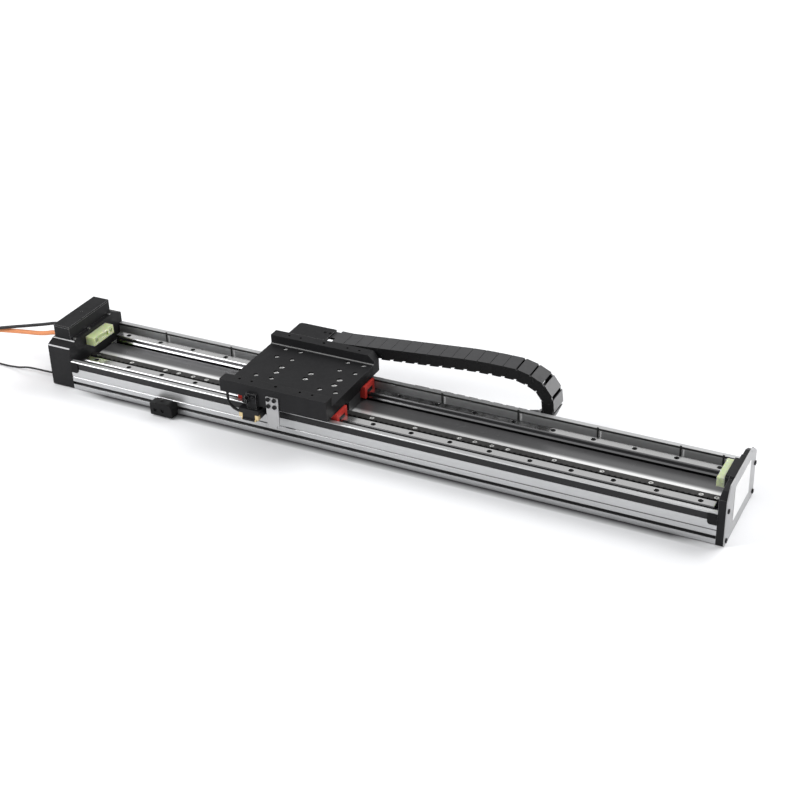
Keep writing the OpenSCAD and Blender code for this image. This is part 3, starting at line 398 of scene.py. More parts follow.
@dataclass(frozen=True)
class Finish:
    """A surface with a grain, patches of handling, rounded edges that catch the light and, where edge_light
    is set, a painted highlight on its edges.

    Attributes:
        name: The material's name.
        colour: The base colour.
        metallic: 0 for paint and plastic, 1 for bare metal.
        roughness: The mean roughness.
        vary: How far the colour goes lighter and darker over the surface, as a share.
        gloss_vary: How far the roughness goes up and down.
        grain_scale: Size of the grain, in cycles per metre.
        grain_depth: Height of the grain, in metres.
        line_across: Lines per metre across the drawn direction, or 0 for none.
        line_depth: Height of the drawn lines, in metres.
        edge: Radius that the edges are softened by, in metres.
        specular: Specular level.
        edge_light: The grey level of the painted highlight on the edges, or 0 for none.
    """

    name: str
    colour: Colour
    metallic: float = 0.0
    roughness: float = 0.45
    vary: float = 0.06
    gloss_vary: float = 0.06
    grain_scale: float = 2500.0
    grain_depth: float = 0.00001
    line_across: float = 0.0
    line_depth: float = 0.0
    edge: float = 0.0004
    specular: float = 0.5
    edge_light: float = 0.0

    def shifted(self, share: float) -> Colour:
        """The base colour made lighter or darker.

        Args:
            share: How far, as a share of the colour; below 0 is darker.

        Returns:
            The colour, no part of it above 1.
        """
        return tuple(min(1.0, part * (1 + share)) for part in self.colour)

    def tint(self, graph: MaterialGraph) -> Socket:
        """The base colour with its variation.

        Args:
            graph: The material's graph.

        Returns:
            The colour.
        """
        patches = graph.group(graph.effects.handling, Scale=COLOUR_PATCHES)
        shade = graph.mix(patches, self.shifted(-self.vary), self.shifted(self.vary))
        if self.line_across:
            lines = graph.group(graph.effects.lines, Across=self.line_across, Along=LINE_STRETCH)
            darker = self.shifted(-LINE_DEPTH * self.vary)
            shade = graph.mix(graph.ramp(lines, *LINE_LEVELS), shade, darker)
        # painted highlight: the edges are mixed towards a pale grey of level edge_light
        if self.edge_light:
            edge_highlight = graph.group(graph.effects.edges, Radius=self.edge)
            shade = graph.mix(edge_highlight, shade, (self.edge_light,) * 3)
        return shade

    def build(self, effects: Effects) -> MaterialGraph:
        """Makes the material.

        Args:
            effects: The shared groups.

        Returns:
            The material's graph.
        """
        graph = MaterialGraph(self.name, effects)
        grain = graph.group(effects.grain, Scale=self.grain_scale)
        patches = graph.group(effects.handling, Scale=GLOSS_PATCHES)
        gloss = graph.math("MULTIPLY_ADD", patches, 2 * self.gloss_vary, self.roughness - self.gloss_vary)
        height = graph.math("MULTIPLY", grain, self.grain_depth)
        if self.line_across:
            lines = graph.group(effects.lines, Across=self.line_across, Along=LINE_STRETCH)
            height = graph.math("MULTIPLY_ADD", lines, self.line_depth, height)
        rounded = graph.put(graph.node("ShaderNodeBevel", samples=4), Radius=self.edge).outputs[0]
        bump = graph.node("ShaderNodeBump")
        graph.put(bump, Height=height, Distance=1.0, Strength=1.0, Normal=rounded)
        graph.put(
            graph.surface,
            Base_Color=self.tint(graph),
            Metallic=self.metallic,
            Roughness=graph.math("MULTIPLY_ADD", grain, GRAIN_GLOSS, gloss),
            Specular_IOR_Level=self.specular,
            Normal=bump.outputs["Normal"],
        )
        return graph


@dataclass(frozen=True)
class Urethane(Finish):
    """Translucent cast urethane: light goes a few millimetres in and comes out yellow green.

    Attributes:
        scatter: Share of the light that is scattered inside.
        reach: How far it goes.
        reach_shares: The shares of that for red, green and blue.
        through: Share of the light that goes through.
    """

    scatter: float = 0.6
    reach: float = 0.006
    reach_shares: Colour = (0.8, 1.0, 0.35)
    through: float = 0.3

    def build(self, effects: Effects) -> MaterialGraph:
        """Makes the material and adds the scattering.

        Args:
            effects: The shared groups.

        Returns:
            The material's graph.
        """
        graph = super().build(effects)
        graph.put(
            graph.surface,
            Subsurface_Weight=self.scatter,
            Subsurface_Radius=self.reach_shares,
            Subsurface_Scale=self.reach,
            Transmission_Weight=self.through,
        )
        return graph


@dataclass(frozen=True)
class GoldSided(Finish):
    """A moulded body with a small gold coloured plate at each lower front corner, told by its place.

    Attributes:
        middle: The body's middle along X.
        half: How far from the middle the plates start.
        high: The height at which they end.
        front: The Y at which they end.
        gold: Their colour.
    """

    middle: float = 0.0
    half: float = 0.0104
    high: float = 0.0465
    front: float = -0.0865
    gold: Colour = (0.66, 0.52, 0.28)

    def tint(self, graph: MaterialGraph) -> Socket:
        """The body colour, and gold past the half width below the high edge at the front.

        Args:
            graph: The material's graph.

        Returns:
            The colour.
        """
        place = graph.parts()
        away = graph.math("ABSOLUTE", graph.math("SUBTRACT", place["X"], self.middle))
        corner = graph.all_of(
            graph.within(away, self.half),
            graph.within(place["Z"], high=self.high),
            graph.within(place["Y"], high=self.front),
        )
        return graph.mix(corner, super().tint(graph), self.gold)


@dataclass(frozen=True)
class NotchedBar(Finish):
    """A dark bar with painted shade where a row of small half-round notches stands along its front top edge.

    Attributes:
        pitch: Distance between two notches.
        start: What is added to X, so that the row is counted from past the bar's end.
        edge_y: Where the front edge is.
        notch: Radius of a notch.
        hole: The painted shade's colour in a notch.
    """

    pitch: float = 0.0086
    start: float = 2.0
    edge_y: float = -0.0258
    notch: float = 0.0021
    hole: Colour = (0.004, 0.004, 0.004)

    def tint(self, graph: MaterialGraph) -> Socket:
        """Paints shade into a half circle at each pitch along the front edge.

        Args:
            graph: The material's graph.

        Returns:
            The colour.
        """
        place = graph.parts()
        along = graph.math("PINGPONG", graph.math("ADD", place["X"], self.start), self.pitch / 2)
        across = graph.math("SUBTRACT", place["Y"], self.edge_y)
        # painted shade of the notches
        return graph.mix(graph.near(along, across, self.notch), super().tint(graph), self.hole)


@dataclass(frozen=True)
class ExtrudedProfile(Finish):
    """Anodised extrusion: the slots, the thin groove and the edge on the floor are in deep shade.

    Attributes:
        face: How far from the middle the side faces start.
        slot: The slot's two heights.
        groove: The groove's two heights.
        foot: The top of the dark edge on the floor.
        shade: The colour of what is in deep shade.
        dim: The colour of the thin groove.
    """

    face: float = 0.0688
    slot: tuple[float, float] = (0.0062, 0.0184)
    groove: tuple[float, float] = (0.022, 0.0244)
    foot: float = 0.001
    shade: Colour = (0.13, 0.13, 0.132)
    dim: Colour = (0.2, 0.2, 0.205)

    def tint(self, graph: MaterialGraph) -> Socket:
        """The profile's colour, darkened below its side faces between the given heights.

        Args:
            graph: The material's graph.

        Returns:
            The colour.
        """
        place = graph.parts()
        height = place["Z"]
        sunk = graph.within(graph.math("ABSOLUTE", place["Y"]), high=self.face)
        slot, groove = [graph.all_of(sunk, graph.within(height, *span)) for span in (self.slot, self.groove)]
        dark = graph.math("MAXIMUM", slot, graph.within(height, high=self.foot))
        return graph.mix(dark, graph.mix(groove, super().tint(graph), self.dim), self.shade)


@dataclass(frozen=True)
class RailWithShadedSides(Finish):
    """Rail steel, with painted shade on the faces that don't look up.

    Attributes:
        raceway: The painted shade's colour on the sides.
        level: How far up a face looks, from where the painted shade starts to fade to where it is gone.
    """

    raceway: Colour = (0.2, 0.2, 0.205)
    level: tuple[float, float] = (0.75, 0.95)

    def tint(self, graph: MaterialGraph) -> Socket:
        """The steel's colour where a face looks up, and the painted shade elsewhere.

        Args:
            graph: The material's graph.

        Returns:
            The colour.
        """
        # painted shade on the faces that don't look up
        facing_up = graph.ramp(graph.parts("Normal")["Z"], *self.level)
        return graph.mix(facing_up, self.raceway, super().tint(graph))


@dataclass(frozen=True)
class BrightCorners(Finish):
    """Black finish with a painted highlight along chosen edges that run along X, each given by its place in
    YZ.

    Attributes:
        corners: The edges' Y and Z.
        reach: How far the painted highlight goes from an edge.
        bare: The painted highlight's colour.
    """

    corners: tuple[tuple[float, float], ...] = ((-0.069, 0.0707), (-0.0544, 0.077))
    reach: float = 0.0013
    bare: Colour = (0.55, 0.55, 0.56)

    def tint(self, graph: MaterialGraph) -> Socket:
        """The finish's colour, and the painted highlight within reach of a chosen edge.

        Args:
            graph: The material's graph.

        Returns:
            The colour.
        """
        place = graph.parts()
        # painted highlight along each chosen edge
        edge_highlight = 0.0
        for y, z in self.corners:
            aside = graph.math("SUBTRACT", place["Y"], y)
            over = graph.math("SUBTRACT", place["Z"], z)
            edge_highlight = graph.math("MAXIMUM", graph.near(aside, over, self.reach), edge_highlight)
        return graph.mix(edge_highlight, super().tint(graph), self.bare)


@dataclass(frozen=True)
class SealedCap(Finish):
    """Red end cap, black in its middle over the rail.

    Attributes:
        rail_y: The rail's distance from the middle.
        half: Half the black middle's width.
        top: The black middle's top.
        wiper: The black middle's colour.
    """

    rail_y: float = 0.0435
    half: float = 0.0084
    top: float = 0.0495
    wiper: Colour = (0.012, 0.01, 0.01)

    def tint(self, graph: MaterialGraph) -> Socket:
        """The cap's red, and black over the rail.

        Args:
            graph: The material's graph.

        Returns:
            The colour.
        """
        place = graph.parts()
        aside = graph.math("SUBTRACT", graph.math("ABSOLUTE", place["Y"]), self.rail_y)
        middle = graph.within(graph.math("ABSOLUTE", aside), high=self.half)
        over_rail = graph.all_of(middle, graph.within(place["Z"], high=self.top))
        return graph.mix(over_rail, super().tint(graph), self.wiper)


@dataclass(frozen=True)
class BandedSheet(Finish):
    """A grey polished sheet with a painted reflection along its rolled front edge.

    Attributes:
        edge_y: Where the sheet's front edge is.
        solid: Width of the strip where the painted reflection is full.
        fade: Width over which it fades.
        bright: The strip's colour.
    """

    edge_y: float = -0.0145
    solid: float = 0.0148
    fade: float = 0.008
    bright: Colour = (1.0, 1.0, 1.0)

    def tint(self, graph: MaterialGraph) -> Socket:
        """The painted reflection along the front edge, fading backwards with the square of the distance.

        Args:
            graph: The material's graph.

        Returns:
            The colour.
        """
        start = self.edge_y + self.solid
        # painted reflection along the front edge
        strip = graph.ramp(graph.parts()["Y"], start + self.fade, start)
        return graph.mix(graph.all_of(strip, strip), super().tint(graph), self.bright)


@dataclass(frozen=True)
class LedgedPlate(Finish):
    """The carriage's black finish: a lighter strip at its rear rim's foot, a painted highlight low on the
    walls of the bores and painted shade on its end.

    Attributes:
        ledge: The strip's two limits along Y.
        ledge_z: The height above which it is.
        bare: The strip's colour.
        ends: The limits along X between which the bores are.
        front: The Y behind which they are.
        upright: How far up or down a wall may look.
        bare_bore: The heights between which the walls of the bores get the painted highlight.
        bore: The painted highlight's colour there.
        end: How far along +X the shaded end looks.
        end_shade: What is left of its colour, in front of the rear rim.
    """

    ledge: tuple[float, float] = (0.0615, 0.0639)
    ledge_z: float = 0.0765
    bare: Colour = (0.3, 0.3, 0.3)
    ends: tuple[float, float] = (-0.2275, -0.0533)
    front: float = -0.0635
    upright: float = 0.2
    bare_bore: tuple[float, float] = (0.0685, 0.0735)
    bore: Colour = (0.95, 0.95, 0.95)
    end: float = 0.7
    end_shade: float = 0.3

    def tint(self, graph: MaterialGraph) -> Socket:
        """The plate's colour with painted shade on the end, over it the painted highlight on the walls of
        the bores, and over those the strip.

        Args:
            graph: The material's graph.

        Returns:
            The colour.
        """
        place, facing = graph.parts(), graph.parts("Normal")
        # painted shade on the +X end, in front of the rear rim
        ahead = graph.math("SUBTRACT", 1.0, graph.within(place["Y"], self.ledge[0]))
        end = graph.all_of(graph.within(facing["X"], self.end), ahead, 1.0 - self.end_shade)
        shaded = graph.mix(end, super().tint(graph), (0.0, 0.0, 0.0))
        # painted highlight low on the walls of the bores, standing in for lit screw heads
        wall = graph.all_of(
            graph.within(graph.math("ABSOLUTE", facing["Z"]), high=self.upright),
            graph.within(place["X"], *self.ends),
            graph.within(place["Y"], self.front, self.ledge[0]),
            graph.within(place["Z"], *self.bare_bore),
        )
        strip = graph.all_of(graph.within(place["Y"], *self.ledge), graph.within(place["Z"], self.ledge_z))
        return graph.mix(strip, graph.mix(wall, shaded, self.bore), self.bare)


@dataclass(frozen=True)
class ChainLink(Finish):
    """Chain plastic, with painted shade on the sides and painted light on the lids that the bend turns
    towards +X.

    Attributes:
        side: The painted shade's colour on the faces that look along Y.
        side_looks: How far along Y a face looks, from where it starts to be a side to where it is.
        turned: The painted light's colour on the lids that the bend has turned towards +X.
        turned_looks: How far along +X a lid looks, from where it starts to be paler to where it is.
        bend_x: Where along X the bend's steep lids start.
    """

    side: Colour = (0.009, 0.009, 0.0095)
    side_looks: tuple[float, float] = (0.4, 0.6)
    turned: Colour = (0.3, 0.3, 0.305)
    turned_looks: tuple[float, float] = (0.7, 0.85)
    bend_x: float = 0.19

    def tint(self, graph: MaterialGraph) -> Socket:
        """The lid colour, with painted light where a lid has turned to +X and painted shade where it looks
        along Y.

        Args:
            graph: The material's graph.

        Returns:
            The colour.
        """
        facing = graph.parts("Normal")
        # painted shade on the faces that look along Y
        across = graph.ramp(graph.math("ABSOLUTE", facing["Y"]), *self.side_looks)
        # painted light on the steep lids that face +X
        bend = graph.within(graph.parts()["X"], self.bend_x)
        turned = graph.all_of(bend, graph.ramp(facing["X"], *self.turned_looks))
        lid = graph.mix(turned, super().tint(graph), self.turned)
        return graph.mix(across, lid, self.side)


class Look(Enum):
    """Every finish: first the record's material slots by their names, then single pieces' own."""

    PROFILE_ALUMINIUM = ExtrudedProfile(
        "clear_anodised_profile", (0.58, 0.585, 0.59), metallic=0.8, roughness=0.34, vary=0.03,
        line_across=1400.0, line_depth=0.000003, grain_depth=0.000002, edge=0.0003, gloss_vary=0.015,
    )
    RAIL_STEEL = RailWithShadedSides(
        "ground_rail_steel", (0.7, 0.7, 0.7), metallic=1.0, roughness=0.16, vary=0.02, gloss_vary=0.01,
        line_across=2200.0, line_depth=0.000001, grain_depth=0.0, edge=0.0002,
    )
    STAINLESS_COVER = BandedSheet(
        "polished_stainless", (0.148, 0.148, 0.151), metallic=0.58, roughness=0.24, vary=0.03,
        line_across=2600.0, line_depth=0.000001, grain_depth=0.0, edge=0.0002, gloss_vary=0.01,
    )
    SILVER_PLATE = Finish(
        "silver_plate", (0.44, 0.44, 0.445), metallic=0.5, roughness=0.4, vary=0.03, grain_depth=0.000004,
    )
    BLACK_ANODISED = Finish(
        "black_anodised", (0.0135, 0.0135, 0.0145), roughness=0.5, vary=0.12, grain_depth=0.000006,
        specular=0.13, edge_light=0.3, edge=0.0007,
    )
    CARRIAGE_ANODISED = LedgedPlate(
        "black_anodised_carriage", (0.0165, 0.0165, 0.0175), roughness=0.5, vary=0.1,
        grain_depth=0.000008, specular=0.1, edge=0.0005, edge_light=0.06,
    )
    DARK_BAR = NotchedBar(
        "blackened_bar", (0.03, 0.029, 0.028), metallic=0.2, roughness=0.42, vary=0.25,
        grain_depth=0.000006, specular=0.3,
    )
    DARK_TRIM = Finish("dark_trim", (0.02, 0.02, 0.02), roughness=0.5, vary=0.1, specular=0.3)
    BRIGHT_SCREWS = Finish(
        "bright_screw_steel", (0.75, 0.75, 0.74), metallic=1.0, roughness=0.26, vary=0.05, edge=0.0002,
    )
    BLACK_SCREWS = Finish(
        "black_oxide_screw", (0.008, 0.008, 0.009), metallic=0.1, roughness=0.4, vary=0.1, edge=0.0002,
        specular=0.3,
    )
    BACK_IRON = Finish("plated_iron", (0.2, 0.2, 0.21), metallic=0.8, roughness=0.4, vary=0.08)
    MAGNET_NICKEL = Finish("nickel_plate", (0.55, 0.54, 0.5), metallic=1.0, roughness=0.25, vary=0.05)
    URETHANE = Urethane(
        "cast_urethane", (0.8, 0.93, 0.5), roughness=0.14, vary=0.08, edge=0.0009, grain_depth=0.0,
        edge_light=0.9,
    )
    BLACK_PLASTIC = Finish(
        "black_moulded_plastic", (0.009, 0.009, 0.0095), roughness=0.5, vary=0.1, specular=0.13,
    )
    SCALE_TAPE = Finish(
        "scale_tape", (0.018, 0.018, 0.019), roughness=0.35, vary=0.05, line_across=900.0,
        line_depth=0.000002, specular=0.25,
    )
    CHAIN_PLASTIC = ChainLink(
        "chain_nylon", (0.05, 0.05, 0.052), roughness=0.46, grain_scale=1800.0, specular=0.18,
    )
    BLOCK_STEEL = Finish("block_steel", (0.025, 0.025, 0.027), metallic=0.4, roughness=0.4, vary=0.08)
    RED_PLASTIC = SealedCap("red_end_cap", (0.52, 0.042, 0.034), roughness=0.55, vary=0.12, specular=0.12)
    COIL_RESIN = Finish("coil_resin", (0.012, 0.012, 0.013), roughness=0.55, vary=0.1)
    READ_HEAD_BODY = GoldSided(
        "read_head_body", (0.01, 0.01, 0.011), vary=0.1, middle=-0.17795, specular=0.25,
    )
    BLACK_CABLE = Finish(
        "black_jacket", (0.01, 0.01, 0.011), roughness=0.48, vary=0.1, grain_scale=1500.0, specular=0.3,
    )
    ORANGE_CABLE = Finish("orange_jacket", (0.66, 0.235, 0.085), vary=0.05, grain_scale=1500.0)
    PLUG_METAL = Finish("plug_nickel", (0.5, 0.5, 0.51), metallic=1.0, roughness=0.3, vary=0.05)
    END_BLOCK = BrightCorners(
        "black_anodised_block", (0.013, 0.013, 0.014), roughness=0.5, vary=0.12, grain_depth=0.000006,
        specular=0.15, edge=0.0006,
    )
    ZINC_SCREW = Finish("zinc_screw", (0.85, 0.85, 0.84), metallic=0.15, roughness=0.3)
    PIN = Finish("bright_pin", (0.85, 0.85, 0.85), metallic=0.3, roughness=0.3, vary=0.03)
    PALE_URETHANE = Urethane(
        "pale_urethane", (0.68, 0.76, 0.5), roughness=0.2, vary=0.1, edge=0.0009, grain_depth=0.0,
        edge_light=0.7,
    )
    LABEL = Finish("blank_label", (0.93, 0.93, 0.93), roughness=0.5, vary=0.01, grain_depth=0.000004)


NODE_LOOKS: dict[str, Look] = {
    "left_end_block": Look.END_BLOCK,
    "block_screws": Look.ZINC_SCREW,
    "forcer_screws": Look.ZINC_SCREW,
    "rail_pins": Look.PIN,
    "right_bumper": Look.PALE_URETHANE,
}


class Paintbox:
    """Builds each finish once and puts it on pieces."""

    def __init__(self) -> None:
        """Builds the shared effects."""
        self.effects = Effects()
        self.made: dict[Look, bpy.types.Material] = {}

    def paint(self, piece: bpy.types.Object, look: Look) -> None:
        """Gives a piece one finish all over, which is built on first use.

        Args:
            piece: The object.
            look: Its finish.
        """
        if look not in self.made:
            self.made[look] = look.value.build(self.effects).material
        piece.data.materials.clear()
        piece.data.materials.append(self.made[look])


# ---- Surfaces ----


def placed(name: str, data: bpy.types.ID) -> bpy.types.Object:
    """Makes an object from its data and links it to the scene.

    Args:
        name: The object's name.
        data: Its mesh, camera or light.

    Returns:
        The object, at the origin.
    """
    piece = bpy.data.objects.new(name, data)
    bpy.context.scene.collection.objects.link(piece)
    return piece


def mesh_piece(name: str, points: np.ndarray, faces: list[list[int]], smooth: bool) -> bpy.types.Object:
    """Makes an object at the origin from points and faces.

    Args:
        name: The object's name.
        points: N by 3 places in metres.
        faces: Each face's point numbers.
        smooth: Whether the faces are shaded smooth.

    Returns:
        The object.
    """
    mesh = bpy.data.meshes.new(name)
    mesh.from_pydata(points.tolist(), [], faces)
    mesh.polygons.foreach_set("use_smooth", np.full(len(mesh.polygons), smooth))
    mesh.update()
    return placed(name, mesh)


def ring_walls(rings: int, sides: int) -> list[list[int]]:
    """The four-sided faces between rings of points, each joined to the next.

    Args:
        rings: Number of rings.
        sides: Points in each ring.

    Returns:
        Each face's point numbers.
    """
    near = (np.arange(rings - 1) * sides)[:, None]
    here = np.arange(sides)
    after = (here + 1) % sides
    corners = [near + here, near + after, near + sides + after, near + sides + here]
    return np.stack(corners, -1).reshape(-1, 4).tolist()


def smooth_path(route: np.ndarray, step: float, cuts: int = 24) -> np.ndarray:
    """Catmull-Rom through the route's points, sampled evenly along its length.

    Each stretch is a cubic whose end slopes are half the way from the point before to the point after.

    Args:
        route: N by 3 points.
        step: Distance between the samples, in metres.
        cuts: Points that a stretch is measured by.

    Returns:
        The samples, from the first point to the last.
    """
    ends = np.vstack([2 * route[0] - route[1], route, 2 * route[-1] - route[-2]])
    t = np.linspace(0, 1, cuts, endpoint=False)[:, None, None]
    a, b, c, d = ends[:-3], ends[1:-2], ends[2:-1], ends[3:]
    cubic = 0.5 * (2 * b + (c - a) * t + (2 * a - 5 * b + 4 * c - d) * t**2 + (3 * b - a - 3 * c + d) * t**3)
    fine = np.vstack([cubic.transpose(1, 0, 2).reshape(-1, 3), route[-1:]])
    run = np.concatenate([[0.0], np.cumsum(np.linalg.norm(np.diff(fine, axis=0), axis=1))])
    wanted = np.linspace(0, run[-1], max(2, round(run[-1] / step) + 1))
    return np.column_stack([np.interp(wanted, run, fine[:, i]) for i in range(3)])


def crosswise(ahead: np.ndarray) -> tuple[np.ndarray, np.ndarray, np.ndarray]:
    """Direction, side and up vectors for directions that are never vertical.

    The side is the level vector across the direction, and up is across both.

    Args:
        ahead: N by 3 directions of any length.

    Returns:
        Three N by 3 arrays of unit vectors.
    """
    ahead = ahead / np.linalg.norm(ahead, axis=1, keepdims=True)
    side = np.cross([0.0, 0.0, 1.0], ahead)
    side /= np.linalg.norm(side, axis=1, keepdims=True)
    return ahead, side, np.cross(ahead, side)


def circles(angle: np.ndarray, side: np.ndarray, up: np.ndarray) -> np.ndarray:
    """A circle of radius 1 across each direction.

    Args:
        angle: K angles.
        side: N by 3 side vectors.
        up: N by 3 up vectors.

    Returns:
        N by K by 3 points.
    """
    turn = angle[None, :, None]
    return np.cos(turn) * side[:, None, :] + np.sin(turn) * up[:, None, :]


def swept_tube(name: str, path: np.ndarray, radius: float, sides: int) -> bpy.types.Object:
    """A closed tube: circles of one radius across the path, joined ring to ring and capped.

    Args:
        name: The object's name.
        path: N by 3 centre points.
        radius: The tube's radius.
        sides: Points in each circle.

    Returns:
        The tube.
    """
    _, side, up = crosswise(np.gradient(path, axis=0))
    angle = np.linspace(0, 2 * np.pi, sides, endpoint=False)
    rings = path[:, None, :] + radius * circles(angle, side, up)
    points = np.vstack([rings.reshape(-1, 3), path[:1], path[-1:]])
    here = np.arange(sides)
    after = (here + 1) % sides
    far = (len(path) - 1) * sides
    start_cap = np.stack([np.full(sides, len(points) - 2), after, here], -1).tolist()
    end_cap = np.stack([np.full(sides, len(points) - 1), far + here, far + after], -1).tolist()
    return mesh_piece(name, points, ring_walls(len(path), sides) + start_cap + end_cap, smooth=True)


def turned_grip(
    name: str, start: np.ndarray, axis: np.ndarray, profile: np.ndarray, ridges: int,
    span: tuple[float, float], depth: float, sides: int,
) -> bpy.types.Object:
    """A turned piece: the profile's radius at each distance along the axis, closed at both ends.

    Where the span holds the distance, the radius falls and rises with the cosine of the angle times
    the number of ridges, which gives the grip its knurling.

    Args:
        name: The object's name.
        start: The axis's first point.
        axis: Its direction.
        profile: N by 2 distances and radii, starting and ending at radius 0.
        ridges: Number of ridges round the piece.
        span: Distances between which the ridges lie.
        depth: Depth of the ridges.
        sides: Points in each circle.

    Returns:
        The piece.
    """
    ahead, side, up = crosswise(axis[None, :])
    angle = np.linspace(0, 2 * np.pi, sides, endpoint=False)
    along, radius = profile[:, 0][:, None], profile[:, 1][:, None]
    knurled = (along > span[0]) & (along < span[1])
    radius = radius - knurled * (depth * 0.5 * (1 - np.cos(ridges * angle)))[None, :]
    points = start + along[:, :, None] * ahead + radius[:, :, None] * circles(angle, side, up)
    piece = mesh_piece(name, points.reshape(-1, 3), ring_walls(len(profile), sides), smooth=False)
    merge_points(piece)
    return piece


def merge_points(piece: bpy.types.Object, distance: float = 1e-6) -> None:
    """Joins points that lie on each other and makes the faces point outwards.

    Args:
        piece: The object whose mesh is mended.
        distance: How far apart such points may be, in metres.
    """
    work = bmesh.new()
    work.from_mesh(piece.data)
    bmesh.ops.remove_doubles(work, verts=work.verts, dist=distance)
    bmesh.ops.recalc_face_normals(work, faces=work.faces)
    work.to_mesh(piece.data)
    work.free()


# ---- Studio ----


@dataclass
class Studio:
    """The camera, the pale floor and the soft light.

    Attributes:
        eye: The camera's place.
        azimuth: Its turn about Z: 0 looks along +Y and 90 along -X, in degrees.
        elevation: Its height above the horizon, in degrees.
        roll: Its turn about its own line of sight, in degrees.
        lens: Focal length, in millimetres.
        sensor: The sensor's width, in millimetres.
        clip: The nearest and the furthest that the camera sees.
        floor_half: Half the floor's side.
        pale: The floor's colour.
        shadow: Its colour against the base.
        contact: How far from the base that shadow reaches.
        contact_power: The power of the share by which it fades.
        contact_end: The length over which it fades out at the base's ends.
        glow: How strongly the floor glows far away.
        glow_reach: Where along its radius the glow starts and where it is full.
        walls: The strength of the light from the horizon, and what is added above.
        overhead: How high the light's full strength starts, as a share of straight up.
        tilt: What the light gains per unit of X.
    """

    eye: Point = (0.90906, -1.73307, 1.20140)
    azimuth: float = 27.11
    elevation: float = 30.21
    roll: float = -1.785
    lens: float = 70.71
    sensor: float = 36.0
    clip: tuple[float, float] = (0.05, 60.0)
    floor_half: float = 6.0
    pale: Colour = (0.88, 0.885, 0.9)
    shadow: Colour = (0.1, 0.1, 0.105)
    contact: float = 0.013
    contact_power: float = 0.7
    contact_end: float = 0.06
    glow: float = 0.7
    glow_reach: tuple[float, float] = (1.3, 3.5)
    walls: tuple[float, float] = (0.5, 0.2)
    overhead: float = 0.9
    tilt: float = -0.12

    def camera(self) -> None:
        """Makes the camera and makes it the scene's."""
        turn = math.radians(self.azimuth)
        tilt = math.radians(self.elevation)
        ahead = Vector((-math.sin(turn) * math.cos(tilt), math.cos(turn) * math.cos(tilt), -math.sin(tilt)))
        right = Vector((math.cos(turn), math.sin(turn), 0.0))
        right.rotate(Matrix.Rotation(-math.radians(self.roll), 3, ahead))
        up = right.cross(ahead)
        data = bpy.data.cameras.new("studio_camera")
        data.lens = self.lens
        data.sensor_width = self.sensor
        data.clip_start, data.clip_end = self.clip
        camera = placed("studio_camera", data)
        camera.matrix_world = Matrix((right, up, -ahead)).transposed().to_4x4()
        camera.location = self.eye
        bpy.context.scene.camera = camera
        LOG.info("%s with a %.1f mm lens", camera.name, self.lens)

    def contact_shadow(self, graph: Graph) -> Socket:
        """The floor's colour, darker along the base's two sides and fading towards its ends.

        It is darker by the share (1 - d / contact) ** contact_power at the distance d from a side.

        Args:
            graph: The floor's graph.

        Returns:
            The colour.
        """
        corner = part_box("base_profile")[1]
        place = graph.parts()
        inside_ends = graph.math("SUBTRACT", corner.x, graph.math("ABSOLUTE", place["X"]))
        aside = graph.math("SUBTRACT", graph.math("ABSOLUTE", place["Y"]), corner.y)
        close = graph.math("POWER", graph.ramp(aside, self.contact, 0.0), self.contact_power)
        close = graph.all_of(close, graph.ramp(inside_ends, 0.0, self.contact_end))
        return graph.mix(close, self.pale, self.shadow)

    def floor(self) -> None:
        """A plain pale floor: one square, which glows faintly where the lamps no longer reach."""
        half = self.floor_half
        corners = np.array([[-half, -half, 0.0], [half, -half, 0.0], [half, half, 0.0], [-half, half, 0.0]])
        piece = mesh_piece("studio_floor", corners, [[0, 1, 2, 3]], smooth=False)
        graph = MaterialGraph("pale_floor")
        away = graph.node("ShaderNodeVectorMath", operation="LENGTH")
        graph.feed(away.inputs[0], graph.node("ShaderNodeTexCoord").outputs["Object"])
        far = graph.ramp(away.outputs["Value"], *self.glow_reach)
        graph.put(
            graph.surface,
            Base_Color=self.contact_shadow(graph),
            Roughness=0.7,
            Specular_IOR_Level=0.05,
            Emission_Color=(1.0, 1.0, 1.0),
            Emission_Strength=graph.math("MULTIPLY", far, self.glow),
        )
        piece.data.materials.append(graph.material)
        LOG.info("%s is %.0f m wide", piece.name, piece.dimensions.x)

    def world(self) -> None:
        """Soft white walls: brightest above, darker to the right, and plain white to the camera."""
        world = bpy.data.worlds.new("studio_world")
        bpy.context.scene.world = world
        world.use_nodes = True
        graph = Graph(world.node_tree)
        way = graph.parts("Generated")
        level, rise = self.walls
        above = graph.math("MULTIPLY_ADD", graph.ramp(way["Z"], 0.0, self.overhead), rise, level)
        strength = graph.math("MULTIPLY_ADD", way["X"], self.tilt, above)
        seen = graph.node("ShaderNodeLightPath").outputs["Is Camera Ray"]
        background = graph.tree.nodes["Background"]
        graph.put(background, Color=(1.0, 1.0, 1.0), Strength=graph.math("MAXIMUM", strength, seen))

    def lamp(self, name: str, at: Point, towards: Point, size: tuple[float, float], power: float) -> None:
        """A rectangular soft lamp.

        Args:
            name: Its name.
            at: Its place.
            towards: The point that it faces.
            size: Its width and height.
            power: Its power in watts.
        """
        data = bpy.data.lights.new(name, "AREA")
        data.shape = "RECTANGLE"
        data.size, data.size_y = size
        data.energy = power
        lamp = placed(name, data)
        lamp.location = at
        lamp.rotation_euler = (Vector(towards) - Vector(at)).to_track_quat("-Z", "Y").to_euler()
        LOG.info("%s of %.0f W", name, power)

    def build(self) -> None:
        """Makes everything and sets the plain view transform."""
        self.camera()
        self.floor()
        self.world()
        self.lamp("rear_softbox", (1.5, 2.1, 2.3), (0.0, 0.0, 0.0), (2.6, 2.2), 90.0)
        self.lamp("front_softbox", (-1.5, -1.2, 1.3), (-0.3, 0.0, 0.0), (0.9, 0.9), 26.0)
        bpy.context.scene.view_settings.view_transform = "Standard"


# ---- Cables ----


